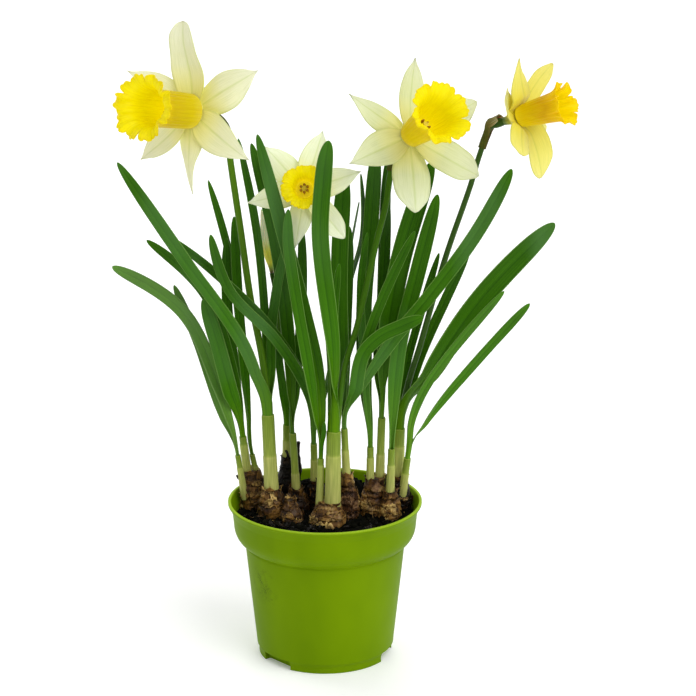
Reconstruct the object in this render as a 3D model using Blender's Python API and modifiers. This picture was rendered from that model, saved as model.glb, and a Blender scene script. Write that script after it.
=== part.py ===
# Potted daffodil: bulbs in a lime green nursery pot, with four open flowers, a bud and fifteen leafy shoots.
# Sizes and places below are millimetres.
# X runs right, Y runs away from the viewer, and Z runs up from the floor.

import bpy
import bmesh
from math import cos, hypot, pi, radians, sin, sqrt
from mathutils import Matrix, Vector, noise

MM = 0.001
GAP = 0.3               # clearance between pieces that touch
LEAF_THICKNESS = 0.9
PETAL_THICKNESS = 0.9
FRILL_THICKNESS = 0.9
SOCKET = 6.0            # how deep a shoot's core stands in its sheath
CORE_WALL = 0.9         # sheath wall and clearance around a core
CORE_RISE = 3.0         # how far a core rises above its sheath
SHEATH_SINK = 8.0       # how deep a sheath stands in its bulb

RIM_RADIUS = 60.0
RIM_HEIGHT = 99.0
POT_WALL = 1.6
POT_FLOOR = 2.2
FOOT_RADIUS = 41.5
FOOT_HEIGHT = 6.0
CORNER_RADIUS = 35.3    # inside of the thick corner above the foot
POT_SEGMENTS = 36
SOIL_SEGMENTS = 30
SOIL_HEIGHT = 88.5
SOIL_BUMPS = 1.6

# Outer side of the pot from the lip down to the foot, as radius and height.
POT_SIDE = [
    (RIM_RADIUS, RIM_HEIGHT), (RIM_RADIUS, 97.2), (58.9, 96.4), (57.2, 91.5), (56.3, 82.0),
    (55.2, 78.8), (53.0, 75.2), (49.8, 72.2), (42.6, FOOT_HEIGHT + 0.4),
]
NICHES = (-47, -167, 73)    # directions of the drainage niches, in degrees from -Y towards +X
NICHE_WIDTH = 23.0
NICHE_DEPTH = 5.5

# Each bulb: middle x and y, radius, height of the widest part, height of the neck, neck radius, neck x and y.
BULBS = {
    "bulb_left": [(-43.5, 17, 8.2, 91, 112, 5.6, -46, 17)],
    "bulb_left_front": [(-32, 1, 8.8, 90, 106, 5.6, -33, 1), (-21, -7.5, 7.0, 88.5, 101, 3.0, -21.5, -6.5)],
    "bulb_centre_left": [(-18, 12, 7.6, 89, 102, 4.2, -18, 11.5)],
    "bulb_back": [(-24, 28, 6.5, 92, 118, 3.4, -24, 27)],
    "bulb_centre_back": [(-4, 17, 6.2, 90, 106, 3.6, -6, 15.5)],
    "bulb_front": [(2, -12, 10.5, 89, 102, 6.4, 3, -12)],
    "bulb_slim": [(15.5, -1, 5.5, 90, 116, 3.3, 13.3, -0.3)],
    "bulb_twin": [(29.5, 4, 7.4, 90, 112, 5.6, 31, 4), (40, -1, 6.8, 89, 105, 4, 40.3, -1.5)],
    "bulb_right_back": [(46.5, 12.5, 6.2, 91, 110, 4.8, 46.3, 12)],
}
BULB_SIDES = 10
BULB_ROWS = 5
BURIED_ROWS = 2


def strap(points, width, turn_root=0, turn_tip=0, taper=0.6, at=(0, 0)):
    """Values of one leaf: points above its root, width, where its face looks, and where its taper starts."""
    return dict(points=points, width=width, turns=(turn_root, turn_tip), taper=taper, at=at)


# Each shoot: the bulb it grows from, the foot and top of its sheath, the sheath's radius, and its leaves.
SHOOTS = {
    "left_1": dict(bulb="bulb_left", foot=(-51, 11, 103), top=(-54, 8, 125), radius=2.0, leaves=[
        strap([(-66.5, 12, 172), (-87, 8, 218), (-128, 0, 248)], 8.2, 45, 5, 0.75),
        strap([(-68, 15, 163), (-78, 17, 195), (-92, 16, 232)], 6.0, -20, 0, 0.6, (-0.4, 0.4)),
    ]),
    "left_2": dict(bulb="bulb_left", foot=(-48.5, 16.5, 111), top=(-51, 14.5, 135), radius=2.6, leaves=[
        strap([(-59, 6, 171), (-65, 0, 199), (-73, -4, 229)], 9.6, 10, 0, 0.6, (0, -0.8)),
        strap([(-56, 11.5, 176), (-72, 6, 228), (-107, 2, 264)], 6.2, 20, 0, 0.7),
        strap([(-55, 22, 170), (-60, 26, 214), (-60, 27, 259)], 6.4, -30, 0, 0.6, (0, 0.8)),
    ]),
    "left_3": dict(bulb="bulb_left", foot=(-42.5, 19, 107), top=(-45.5, 18.5, 122), radius=2.0, leaves=[
        strap([(-49, 20, 167), (-53, 21, 221), (-55, 21, 274)], 6.0, 70, 0, 0.7),
        strap([(-51, 29, 181), (-57, 32, 238), (-71, 32, 294)], 5.0, 40, 0, 0.6, (0, 0.5)),
    ]),
    "left_main": dict(bulb="bulb_left_front", foot=(-33, 1, 104), top=(-35, 3, 153), radius=4.3, leaves=[
        strap([(-49, -5, 200), (-83, -11, 254), (-122, -16, 316)], 8.0, 0, 0, 0.55, (-0.9, -2.7)),
        strap([(-36, 13, 201), (-41, 19, 263), (-52, 23, 322)], 5.2, 20, 10, 0.5, (-0.6, 2.8)),
        strap([(-33, 10, 180), (-32, 12, 211), (-24, 12, 258)], 6.0, -20, 0, 0.6, (1.6, 2.3)),
    ]),
    "back_1": dict(bulb="bulb_back", foot=(-24, 27, 117), top=(-24, 25.5, 139), radius=2.7, leaves=[
        strap([(-26, 20, 163), (-30, 18, 196)], 5.0, 0, 0, 0.6, (0, -1.5)),
    ]),
    "back_2": dict(bulb="bulb_centre_left", foot=(-18, 11.5, 101), top=(-20, 12, 138), radius=2.5, leaves=[
        strap([(-22, 15, 194), (-30, 18, 260), (-44, 18, 320)], 8.0, 10, 0, 0.6, (-0.4, 0)),
        strap([(-17, 17, 178), (-14, 21, 221), (-14, 23, 268)], 6.0, -20, 0, 0.6, (0.5, 0.5)),
    ]),
    "mid_1": dict(bulb="bulb_centre_back", foot=(-6.5, 15.5, 105), top=(-7, 12.5, 131), radius=2.4, leaves=[
        strap([(-10, 7, 165), (-29, -2, 202), (-57, -7, 235), (-68, -8, 270)], 6.4, 20, 0, 0.75, (0, -0.6)),
        strap([(-12, 12, 169), (-34, 4, 210), (-63, 1, 241), (-93, -1, 267)], 5.6, 30, 0, 0.6),
        strap([(3, 20, 177), (15, 22, 231), (23, 23, 263), (22, 23, 300)], 5.0, 50, 55, 0.5, (0.4, 0.4)),
        strap([(4, 26, 182), (13, 29, 236), (21, 29, 281)], 4.6, 70, 72, 0.5, (0, 0.8)),
    ]),
    "mid_2": dict(bulb="bulb_front", foot=(-3.2, -9.8, 101), top=(-2.4, -10, 129), radius=2.2, leaves=[
        strap([(-3, -12, 177), (-13, -15, 228), (-26, -19, 281), (-39, -21, 334)], 8.4, 30, 0, 0.6,
              (0, 0.4)),
        strap([(-8, -18, 179), (-17, -23, 237), (-21, -25, 268), (-21, -26, 290)], 7.0, 75, 0, 0.7,
              (-0.4, -0.4)),
        strap([(-0.8, -13, 142), (-0.2, -14, 154)], 3.0, 0, 0, 0.5, (0.5, -0.3)),
    ]),
    "mid_3": dict(bulb="bulb_front", foot=(4.8, -12.4, 101), top=(5.5, -10.5, 147), radius=4.8, leaves=[
        strap([(5.5, -19, 198), (-2, -31, 273), (0, -35, 313), (3, -38, 334)], 10.2, 80, 0, 0.8,
              (-0.8, -3.1)),
        strap([(5.5, -12, 185), (6, -9, 222), (9, -8, 252)], 5.0, 30, 0, 0.6, (1.4, -3.0)),
    ]),
    "mid_4": dict(bulb="bulb_slim", foot=(13.3, -0.3, 115), top=(12, 0, 145), radius=2.4, leaves=[
        strap([(18, -5, 166), (40, -9, 203), (62, -11, 231), (90, -13, 271), (111, -16, 312)], 8.8, 40, 0,
              0.75),
        strap([(18, -8, 168), (23, -17, 197), (33, -21, 210), (46, -22, 217), (59, -23, 223)], 8.6, 20, 0,
              0.75, (0, -0.7)),
        strap([(18, -6, 168), (24, -13, 200), (36, -15, 235), (54, -16, 274)], 6.0, 20, 0, 0.6, (0.5, 0)),
        strap([(10, 4, 180), (9, 9, 244), (12, 13, 302)], 10.4, 0, 0, 0.75, (-0.4, 0.7)),
        strap([(12, 9, 180), (14, 15, 236), (15, 16, 269)], 7.0, 0, 0, 0.6, (0.4, 1.0)),
    ]),
    "right_1": dict(bulb="bulb_twin", foot=(28, 2.5, 109), top=(28, 3, 132), radius=2.4, leaves=[
        strap([(25, 9, 170), (24, 14, 217), (28, 17, 268), (31, 18, 316)], 9.4, 20, 0, 0.75, (0, 0.5)),
        strap([(24, 6, 187), (22, 8, 231), (26, 9, 267)], 5.0, 0, 0, 0.6, (0, -0.5)),
    ]),
    "right_2": dict(bulb="bulb_twin", foot=(34, 6.5, 111), top=(35, 6, 150), radius=2.7, leaves=[
        strap([(33, 12, 192), (36, 19, 235), (38, 21, 288)], 6.6, 0, 0, 0.6, (-0.6, 0.4)),
        strap([(35, 18, 197), (36, 25, 246), (38, 27, 308)], 6.8, 0, 0, 0.6, (0, 1.0)),
        strap([(37, 8, 193), (47, 10, 253), (65, 12, 310)], 12.6, 30, 0, 0.6, (0.6, -0.4)),
    ]),
    "right_3": dict(bulb="bulb_twin", foot=(40.3, -1.7, 105), top=(41, -3, 133), radius=2.5, leaves=[
        strap([(45, 0, 196), (56, 3, 242), (68, 3, 292)], 9.6, 20, 0, 0.6),
    ]),
    "right_4": dict(bulb="bulb_right_back", foot=(45, 14, 111), top=(46, 13, 141), radius=3.9, leaves=[
        strap([(62, 3, 175), (94, -1, 227), (138, -4, 276)], 13.4, 40, 0, 0.6, (1.8, -2.2)),
        strap([(57, 18, 181), (74, 19, 222), (88, 18, 253)], 6.2, 0, 0, 0.6, (0.8, 2.6)),
        strap([(50, 22, 177), (60, 25, 215), (70, 25, 250)], 5.0, 0, 0, 0.5, (-1.0, 2.6)),
    ]),
    "right_5": dict(bulb="bulb_right_back", foot=(48.5, 8, 104), top=(51, 5.5, 124), radius=2.5, leaves=[
        strap([(55, 0, 156), (69, -8, 186), (108, -12, 236)], 5.4, 20, 0, 0.6, (-0.3, -0.5)),
        strap([(63, 4, 149), (89, 0, 184), (124, -4, 226)], 5.8, 70, 5, 0.7, (0.5, 0.3)),
    ]),
}

# Each stem: the shoot whose sheath holds it, where it stands there, its route, and its radius low down
# and high up.
STEMS = {
    "left": dict(shoot="left_main", at=(0.2, 0.3), radii=(2.2, 2.0), route=[
        (-38, 6, 187), (-45, 9, 225), (-51, 13, 269), (-56.5, 17.5, 308), (-59, 21, 328)]),
    "right": dict(shoot="mid_3", at=(1.9, 0.6), radii=(1.9, 1.9), route=[
        (12, -9, 186), (20, -5, 213), (31, 4, 261), (37, 10, 284), (40.5, 15, 308)]),
    "centre": dict(shoot="mid_3", at=(-2.0, 1.1), radii=(1.6, 1.6), route=[
        (3, -4, 190), (-1, 0, 234), (-4, 9, 262), (-6.5, 14.5, 282)]),
    "yellow": dict(shoot="right_4", at=(0.3, 0.2), radii=(2.0, 1.7), route=[
        (51, 12, 169), (58, 10, 194), (73, 10, 250), (88, 13, 295), (93, 16, 312)]),
    "bud": dict(shoot="back_1", at=(0, 0.6), radii=(1.3, 1.4), route=[
        (-27, 29, 175), (-30, 30, 220), (-32.6, 29.6, 236)]),
}
STEM_ROWS = 8
LEAF_ROWS = 6
TUBE_LENGTH = 10.0      # from the petals' plane back to the ovary
OVARY_LENGTH = 9.0
OVARY_RADIUS = 2.9
NECK_RUN = 24.0         # from the petals' plane back to the bend of the neck

# Each flower: its middle, which way it looks (azimuth from -Y towards +X, and elevation), its cup's length,
# base radius and rim radius, and its petals as length, angle round the cup, lean towards the cup's mouth,
# width, and how far the petal is twisted on its length.
FLOWERS = {
    "left": dict(middle=(-80, 2, 343), looks=(-38, 13), cup=(42, 10.5, 20.5), petals=[
        (54, 105, -4, 23, 0), (50, 36, -10, 24, 0), (50, -28, -8, 24, 0), (50, -74, 8, 17, 0),
        (44, -130, 8, 18, 0), (49, 156, 21, 18, 0)]),
    "right": dict(middle=(52, -2, 329.5), looks=(31, 31), cup=(38, 7, 18.5), petals=[
        (48, 75, 14, 19, 0), (47, 142, 6, 17, 0), (46, -166, -2, 21, 0), (47, -100, -2, 24, 0),
        (47, -40, 6, 22, 0), (50, 18, 13, 20, 0)]),
    "centre": dict(middle=(-11.4, -8, 297.4), looks=(-2, 20), cup=(20, 5.5, 13), petals=[
        (37, 76, -2, 18, 0), (38, 136, 4, 19, 0), (36, -166, -6, 18, 0), (36, -98, -2, 19, 0),
        (37, -44, -2, 19, 0), (37, 18, 8, 18, 0)]),
    "yellow": dict(middle=(117, 8, 338.5), looks=(60, 20), cup=(33, 6.5, 14), petals=[
        (34, 148, 22, 17, 0), (41, 92, 34, 16, -12), (38, 44, 28, 17, -20), (34, -20, 2, 17, 0),
        (44, -68, -6, 20, 35), (32, -134, 13, 16, 28)]),
}
PETAL_ROWS = 5
CUP_SIDES = 24
CUP_LOBES = 6
CUP_ROWS = 3
STAMENS = 6
SPATHE_LENGTH = 26.0
BUD_LENGTH = 41.0
BUD_TIP = (-6.0, -2.0, 40.5)   # direction of the bud from its foot
BUD_RADIUS = 3.2

GREEN = (0.06, 0.16, 0.02)
COLOURS = {
    "pot": (0.20, 0.36, 0.01), "soil": (0.05, 0.035, 0.025), "bulb": (0.20, 0.10, 0.04),
    "sheath": (0.42, 0.42, 0.13), "leaves": GREEN, "stem": (0.15, 0.26, 0.03), "spathe": (0.25, 0.17, 0.06),
    "petals": (0.85, 0.82, 0.52), "petals_yellow": (0.85, 0.72, 0.12), "corona": (0.85, 0.58, 0.0),
    "bud": (0.78, 0.74, 0.30),
}
ROUGHNESS = {"pot": 0.4, "soil": 0.95, "bulb": 0.7}


def start_empty():
    """Remove what the scene holds, and make one collection for the parts and one for what shapes them."""
    for old in list(bpy.data.objects):
        bpy.data.objects.remove(old, do_unlink=True)
    for name in ("potted_daffodil", "tools"):
        bpy.context.scene.collection.children.link(bpy.data.collections.new(name))


def material(kind):
    """The material of a kind of piece, made once."""
    if kind in bpy.data.materials:
        return bpy.data.materials[kind]
    paint = bpy.data.materials.new(kind)
    paint.use_nodes = True
    shader = paint.node_tree.nodes["Principled BSDF"]
    shader.inputs["Base Color"].default_value = (*COLOURS[kind], 1)
    shader.inputs["Roughness"].default_value = ROUGHNESS.get(kind, 0.5)
    shader.inputs["Metallic"].default_value = 0
    return paint


def tool(mesh, name="tool"):
    """An object that is only cut with or joined on, and never stays."""
    piece = bpy.data.objects.new(name, mesh)
    bpy.data.collections["tools"].objects.link(piece)
    piece.hide_render = True
    piece.display_type = "WIRE"
    return piece


def part(name, kind, piece):
    """Turn a finished tool into the part of this name."""
    piece.name = name
    bpy.data.collections["tools"].objects.unlink(piece)
    bpy.data.collections["potted_daffodil"].objects.link(piece)
    piece.hide_render = False
    piece.display_type = "TEXTURED"
    piece.data.materials.clear()
    piece.data.materials.append(material(kind))
    piece.data.shade_smooth()
    piece.data.set_sharp_from_angle(angle=radians(40))
    return piece


def bake(piece):
    """A new tool with the mesh that a piece's modifiers or bevel make, in place of the piece."""
    view = bpy.context.evaluated_depsgraph_get()
    mesh = bpy.data.meshes.new_from_object(piece.evaluated_get(view))
    mesh.transform(piece.matrix_world)
    bpy.data.objects.remove(piece, do_unlink=True)
    shape = bmesh.new()
    shape.from_mesh(mesh)
    bmesh.ops.remove_doubles(shape, verts=shape.verts, dist=0.01 * MM)
    bmesh.ops.triangulate(shape, faces=shape.faces)
    shape.to_mesh(mesh)
    shape.free()
    return tool(mesh)


def combine(piece, others, operation, solver="EXACT"):
    """Join others to a piece, or cut it with them, and remove them."""
    if not others:
        return piece
    group = bpy.data.collections.new("group")
    bpy.context.scene.collection.children.link(group)
    for other in others:
        bpy.data.collections["tools"].objects.unlink(other)
        group.objects.link(other)
    boolean = piece.modifiers.new(operation, "BOOLEAN")
    boolean.operation = operation
    boolean.operand_type = "COLLECTION"
    boolean.collection = group
    boolean.solver = solver
    piece = bake(piece)
    for other in others:
        bpy.data.objects.remove(other, do_unlink=True)
    bpy.data.collections.remove(group)
    return piece


def smooth(points):
    """A function that runs smoothly through the points as its argument goes from 0 to 1."""
    points = [Vector(point) for point in points]
    last = len(points) - 1
    knots = [0.0]
    for near, far in zip(points, points[1:]):
        knots.append(knots[-1] + (far - near).length)
    slopes = []
    for i in range(last + 1):
        low = max(i - 1, 0)
        high = min(i + 1, last)
        slopes.append((points[high] - points[low]) / (knots[high] - knots[low]))
    if last > 1:
        slopes[0] = 1.5 * (points[1] - points[0]) / knots[1] - 0.5 * slopes[1]
        slopes[-1] = 1.5 * (points[-1] - points[-2]) / (knots[-1] - knots[-2]) - 0.5 * slopes[-2]

    def place(share):
        run = min(max(share, 0), 1) * knots[-1]
        i = max(j for j in range(last) if knots[j] <= run)
        span = knots[i + 1] - knots[i]
        f = (run - knots[i]) / span
        start = points[i] * (1 + 2 * f) * (1 - f) ** 2 + slopes[i] * span * f * (1 - f) ** 2
        end = points[i + 1] * f * f * (3 - 2 * f) + slopes[i + 1] * span * f * f * (f - 1)
        return start + end

    return place


def heading(path, share):
    """The direction of a path at a share of its length."""
    return (path(min(share + 0.01, 1)) - path(max(share - 0.01, 0))).normalized()


def rod(points, radii, sides=8):
    """A rod through the points, with a radius at each."""
    curve = bpy.data.curves.new("rod", "CURVE")
    curve.dimensions = "3D"
    curve.bevel_depth = MM
    curve.bevel_resolution = sides // 2 - 2
    curve.use_fill_caps = True
    line = curve.splines.new("POLY")
    line.points.add(len(points) - 1)
    for spot, point, radius in zip(line.points, points, radii):
        spot.co = (*(Vector(point) * MM), 1)
        spot.radius = radius
    return bake(tool(curve))


def turned(profile, segments):
    """A body turned from a profile of radius and height that ends down its outer side."""
    mesh = bpy.data.meshes.new("profile")
    edges = [(i, i + 1) for i in range(len(profile) - 1)]
    mesh.from_pydata([(radius * MM, 0, height * MM) for radius, height in profile], edges, [])
    piece = tool(mesh)
    screw = piece.modifiers.new("turn", "SCREW")
    screw.steps = segments
    screw.render_steps = segments
    screw.use_merge_vertices = True
    screw.merge_threshold = 0.01 * MM
    return bake(piece)


def sheet(across, along, place, thickness, closed=False):
    """A thin body: a grid on place(u, t), with u from -1 to 1 and t from 0 to 1, given a thickness."""
    shape = bmesh.new()
    bmesh.ops.create_grid(shape, x_segments=across, y_segments=along, size=0.5)
    bmesh.ops.triangulate(shape, faces=shape.faces)
    for corner in shape.verts:
        corner.co = place(2 * corner.co.x, corner.co.y + 0.5) * MM
    if closed:
        bmesh.ops.remove_doubles(shape, verts=shape.verts, dist=0.01 * MM)
        foot = [edge for edge in shape.edges if edge.is_boundary]
        foot.sort(key=lambda edge: (edge.verts[0].co - place(0, 0) * MM).length)
        bmesh.ops.contextual_create(shape, geom=foot[:across])
        bmesh.ops.triangulate(shape, faces=shape.faces)
    bmesh.ops.recalc_face_normals(shape, faces=shape.faces)
    mesh = bpy.data.meshes.new("sheet")
    shape.to_mesh(mesh)
    shape.free()
    piece = tool(mesh)
    thicken = piece.modifiers.new("thicken", "SOLIDIFY")
    thicken.thickness = thickness * MM
    thicken.offset = -1 if closed else 0
    return bake(piece)


def make_pot():
    """The pot: one moulded wall with a rounded collar, a thick corner and three niches at its foot."""
    inside = [(radius - POT_WALL, height) for radius, height in POT_SIDE[2:-1]]
    inside.append((FOOT_RADIUS - 0.5, FOOT_HEIGHT + 3))
    inside += [(CORNER_RADIUS, FOOT_HEIGHT + 2), (CORNER_RADIUS, POT_FLOOR), (0, POT_FLOOR)]
    lip = [(RIM_RADIUS - POT_WALL, RIM_HEIGHT)]
    foot = [(FOOT_RADIUS, FOOT_HEIGHT), (FOOT_RADIUS, 0), (0, 0)]
    pot = turned(inside[::-1] + lip + POT_SIDE + foot, POT_SEGMENTS)
    cutters = []
    for direction in NICHES:
        shape = bmesh.new()
        bmesh.ops.create_cube(shape, size=MM)
        low = FOOT_RADIUS - NICHE_DEPTH
        bmesh.ops.scale(shape, vec=(NICHE_WIDTH, 2 * NICHE_DEPTH, 2 * FOOT_HEIGHT), verts=shape.verts)
        bmesh.ops.translate(shape, vec=(0, -(low + NICHE_DEPTH) * MM, 0), verts=shape.verts)
        turn = Matrix.Rotation(radians(direction), 3, "Z")
        bmesh.ops.rotate(shape, matrix=turn, verts=shape.verts)
        mesh = bpy.data.meshes.new("niche")
        shape.to_mesh(mesh)
        shape.free()
        cutters.append(tool(mesh))
    part("pot", "pot", combine(pot, cutters, "DIFFERENCE"))


def bulb_body(lobe, extra=0.0):
    """An onion-shaped body on a round foot, grown by extra all round."""
    x, y, radius, middle, top, neck, neck_x, neck_y = lobe
    depth = 1.15 * radius
    profile = [(0, top + extra)]
    for row in range(BULB_ROWS + 1):
        rise = 1 - row / BULB_ROWS
        ease = rise ** 1.35
        share = neck / radius + (1 - neck / radius) * (0.5 + 0.5 * cos(pi * ease))
        drop = 0.9 if row == 0 else 1
        height = middle + (top - middle) * rise + (extra if row == 0 else 0)
        profile.append((radius * share * drop + extra, height))
    for row in range(1, BURIED_ROWS):
        slope = 0.5 * pi * row / BURIED_ROWS
        profile.append((radius * cos(slope) + extra, middle - depth * sin(slope)))
    profile.append((0, middle - depth - extra))
    body = turned(profile, BULB_SIDES)
    for corner in body.data.vertices:
        lean = min(max((corner.co.z / MM - middle) / (top - middle), 0), 1) ** 1.5
        corner.co.x += (x + (neck_x - x) * lean) * MM
        corner.co.y += (y + (neck_y - y) * lean) * MM
    return body


def bulb_bodies(name, extra=0.0):
    """All lobes of one bulb as one body."""
    lobes = [bulb_body(lobe, extra) for lobe in BULBS[name]]
    return combine(lobes[0], lobes[1:], "UNION")


def sheath_line(shoot):
    """Foot, top and upward direction of a shoot's sheath."""
    foot = Vector(shoot["foot"])
    top = Vector(shoot["top"])
    return foot, top, (top - foot).normalized()


def sheath_rod(shoot, extra=0.0):
    """The outside of a sheath, from inside its bulb to its top, grown by extra all round."""
    foot, top, up = sheath_line(shoot)
    radius = shoot["radius"] + extra
    low = foot - up * (SHEATH_SINK + extra)
    return rod([low, top + up * extra], [radius, radius * 0.97], 8)


def core_rod(shoot, extra=0.0):
    """The base that a shoot's leaves grow from, grown by extra all round."""
    top, up = sheath_line(shoot)[1:]
    radius = shoot["radius"] - CORE_WALL + extra
    return rod([top - up * (SOCKET + extra), top + up * CORE_RISE], [radius, radius], 6)


def stems_of(name):
    """The names of the stems that stand in a shoot's sheath."""
    return [stem for stem, values in STEMS.items() if values["shoot"] == name]


def flower_axes(flower):
    """The flower's middle, the way it looks, and two directions across it, the second one upwards."""
    azimuth, elevation = (radians(angle) for angle in flower["looks"])
    ahead = Vector((sin(azimuth) * cos(elevation), -cos(azimuth) * cos(elevation), sin(elevation)))
    across = Vector((0, 0, 1)).cross(ahead).normalized()
    return Vector(flower["middle"]), ahead, across, ahead.cross(across)


def stem_line(name):
    """The points of a stem, and where its straight last stretch, the ovary, begins."""
    values = STEMS[name]
    top, up = sheath_line(SHOOTS[values["shoot"]])[1:]
    foot = top - up * (SOCKET - GAP) + Vector((*values["at"], 0))
    points = [foot, foot + up * SOCKET] + [Vector(point) for point in values["route"]]
    if name in FLOWERS:
        middle, ahead = flower_axes(FLOWERS[name])[:2]
        points += [middle - ahead * (NECK_RUN - 3), middle - ahead * (TUBE_LENGTH + OVARY_LENGTH)]
    return points


def stem_rod(name, extra=0.0):
    """A stem from its sheath to its ovary, grown by extra all round."""
    low, high = STEMS[name]["radii"]
    path = smooth(stem_line(name))
    points = []
    radii = []
    for row in range(STEM_ROWS + 1):
        share = row / STEM_ROWS
        share = share + 0.35 * share * (1 - share)
        points.append(path(share))
        radii.append(low + (high - low) * share + extra)
    if name in FLOWERS:
        middle, ahead = flower_axes(FLOWERS[name])[:2]
        for run, radius in ((0.55, OVARY_RADIUS), (0.15, OVARY_RADIUS * 0.9), (0, OVARY_RADIUS * 0.7)):
            points.append(middle - ahead * (TUBE_LENGTH + GAP + OVARY_LENGTH * run))
            radii.append(radius + extra)
    return rod(points, radii, 8)


def leaf_body(shoot, leaf):
    """One strap leaf: channelled, narrow at its root and rounded at its tip."""
    top, up = sheath_line(shoot)[1:]
    root = top + up + Vector((*leaf["at"], 0))
    path = smooth([root] + leaf["points"])
    half = leaf["width"] / 2
    narrow = min(0.8 * (shoot["radius"] - CORE_WALL) / half, 0.7)

    def place(u, t):
        share = t + 0.45 * t * (1 - t)
        tangent = heading(path, share)
        first, second = (radians(turn) for turn in leaf["turns"])
        blend = min(share / 0.6, 1)
        look = first + (second - first) * blend * blend * (3 - 2 * blend)
        across = tangent.cross(Vector((sin(look), -cos(look), 0))).normalized()
        face = across.cross(tangent)
        grow = narrow + (1 - narrow) * min(share / 0.3, 1) ** 0.8
        taper = max(share - leaf["taper"], 0) / (1 - leaf["taper"])
        width = half * grow * max(sqrt(1 - taper ** 2.4), 0.14)
        channel = 0.22 * width * (1 - share) * (abs(u) - 0.5)
        return path(share) + across * u * width + face * channel

    return sheet(2, LEAF_ROWS, place, LEAF_THICKNESS)


def make_shoots():
    """Leaves, sheaths and stems, each one cut where another stands in it."""
    for name, shoot in SHOOTS.items():
        blades = [leaf_body(shoot, leaf) for leaf in shoot["leaves"]]
        bunch = combine(core_rod(shoot), blades, "UNION")
        room = [stem_rod(stem, GAP) for stem in stems_of(name)]
        part("leaves_" + name, "leaves", combine(bunch, room, "DIFFERENCE"))
        room = [stem_rod(stem, GAP) for stem in stems_of(name)]
        tube = combine(sheath_rod(shoot), [core_rod(shoot, GAP)] + room, "DIFFERENCE")
        part("sheath_" + name, "sheath", tube)
    for name in STEMS:
        part("stem_" + name, "stem", stem_rod(name))


def make_bulbs():
    """The bulbs with a hole for each sheath, and the soil with a hole for each bulb."""
    for name in BULBS:
        room = [sheath_rod(shoot, GAP) for shoot in SHOOTS.values() if shoot["bulb"] == name]
        part(name, "bulb", combine(bulb_bodies(name), room, "DIFFERENCE"))
    side = [(radius - POT_WALL - GAP, height) for radius, height in POT_SIDE[3:-1]]
    side[0] = (side[0][0] - 0.3, SOIL_HEIGHT)
    rings = [(side[0][0] * share, SOIL_HEIGHT) for share in (0, 0.35, 0.7)]
    floor = POT_FLOOR + GAP
    corner = CORNER_RADIUS - GAP
    side += [(FOOT_RADIUS - 0.8, FOOT_HEIGHT + 3 + GAP), (corner, FOOT_HEIGHT + 2 + GAP)]
    side += [(corner, floor), (0, floor)]
    soil = turned(rings + side, SOIL_SEGMENTS)
    edge = side[0][0] * 0.9
    for spot in soil.data.vertices:
        place = spot.co / MM
        if place.z > SOIL_HEIGHT - 1 and hypot(place.x, place.y) < edge:
            spot.co.z += SOIL_BUMPS * noise.noise(place * 0.11) * MM
    part("soil", "soil", combine(soil, [bulb_bodies(name, GAP) for name in BULBS], "DIFFERENCE"))


def petal_body(flower, values, layer):
    """One petal: ovate, keeled and a little waved, from the cup's foot outwards."""
    middle, ahead, across, upward = flower_axes(flower)
    length, angle, lean, width, twist = values
    angle = radians(angle)
    lean = radians(lean)
    out = across * cos(angle) + upward * sin(angle)
    level = upward * cos(angle) - across * sin(angle)
    back = middle - ahead * (1.4 + 2.2 * layer)
    start = flower["cup"][1] * 0.35

    def place(u, t):
        share = 1 - (1 - t) ** 1.25
        run = start + (length - start) * share
        bulge = sin(pi * min(0.12 + 0.88 * share, 1) ** 0.9)
        half = width / 2 * max(bulge ** 0.75, 0.1)
        rise = run * sin(lean) * share + 0.9 * sin(3.5 * share + angle) * share
        curl = (abs(u) ** 1.5 - 0.4) * half * 0.14 * (-1 if layer else 1)
        turn = radians(twist) * share
        side = level * cos(turn) + ahead * sin(turn)
        return back + out * run * (cos(lean) * share + 1 - share) + side * u * half + ahead * (rise + curl)

    return sheet(2, PETAL_ROWS, place, PETAL_THICKNESS)


def cup_body(flower):
    """The frilled trumpet with its stamens and pistil standing on its floor."""
    middle, ahead, across, upward = flower_axes(flower)
    length, base, rim = flower["cup"]

    def place(u, t):
        angle = pi * u
        share = t ** 0.8
        frill = share ** 4
        radius = base + (rim - base) * (0.22 * share + 0.78 * share ** 4)
        radius += frill * 0.07 * rim * sin(CUP_LOBES * angle)
        run = GAP + length * share + frill * 0.05 * length * cos(CUP_LOBES * angle)
        return middle + ahead * run + (across * cos(angle) + upward * sin(angle)) * radius

    cup = sheet(CUP_SIDES, CUP_ROWS, place, FRILL_THICKNESS, closed=True)
    threads = [rod([middle + ahead * 0.6, middle + ahead * length * 0.6], [0.9, 1.4], 4)]
    for number in range(STAMENS):
        angle = 2 * pi * (number + 0.5) / STAMENS
        out = across * cos(angle) + upward * sin(angle)
        foot = middle + out * base * 0.4
        tip = foot + ahead * length * 0.45
        threads.append(rod([foot + ahead * 0.6, tip], [0.6, 0.9], 4))
    return combine(cup, threads, "UNION")


def spathe_body(name):
    """The papery bract, wrapped half round the bent neck below the flower."""
    path = smooth(stem_line(name))
    total = sum((path(i / 40) - path((i + 1) / 40)).length for i in range(40))
    first = 1 - SPATHE_LENGTH / total
    stem = STEMS[name]["radii"][1]
    outer = Vector((0, 0, 1)) - flower_axes(FLOWERS[name])[1]

    def place(u, t):
        share = first + (1 - first) * t
        tangent = heading(path, share)
        across = tangent.cross(outer).normalized()
        back = across.cross(tangent)
        angle = u * radians(100 - 60 * t)
        radius = stem + GAP + 1.0 + (OVARY_RADIUS - stem + 0.8) * t
        return path(share) + (back * cos(angle) + across * sin(angle)) * radius

    return sheet(4, 3, place, 0.8)


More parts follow.
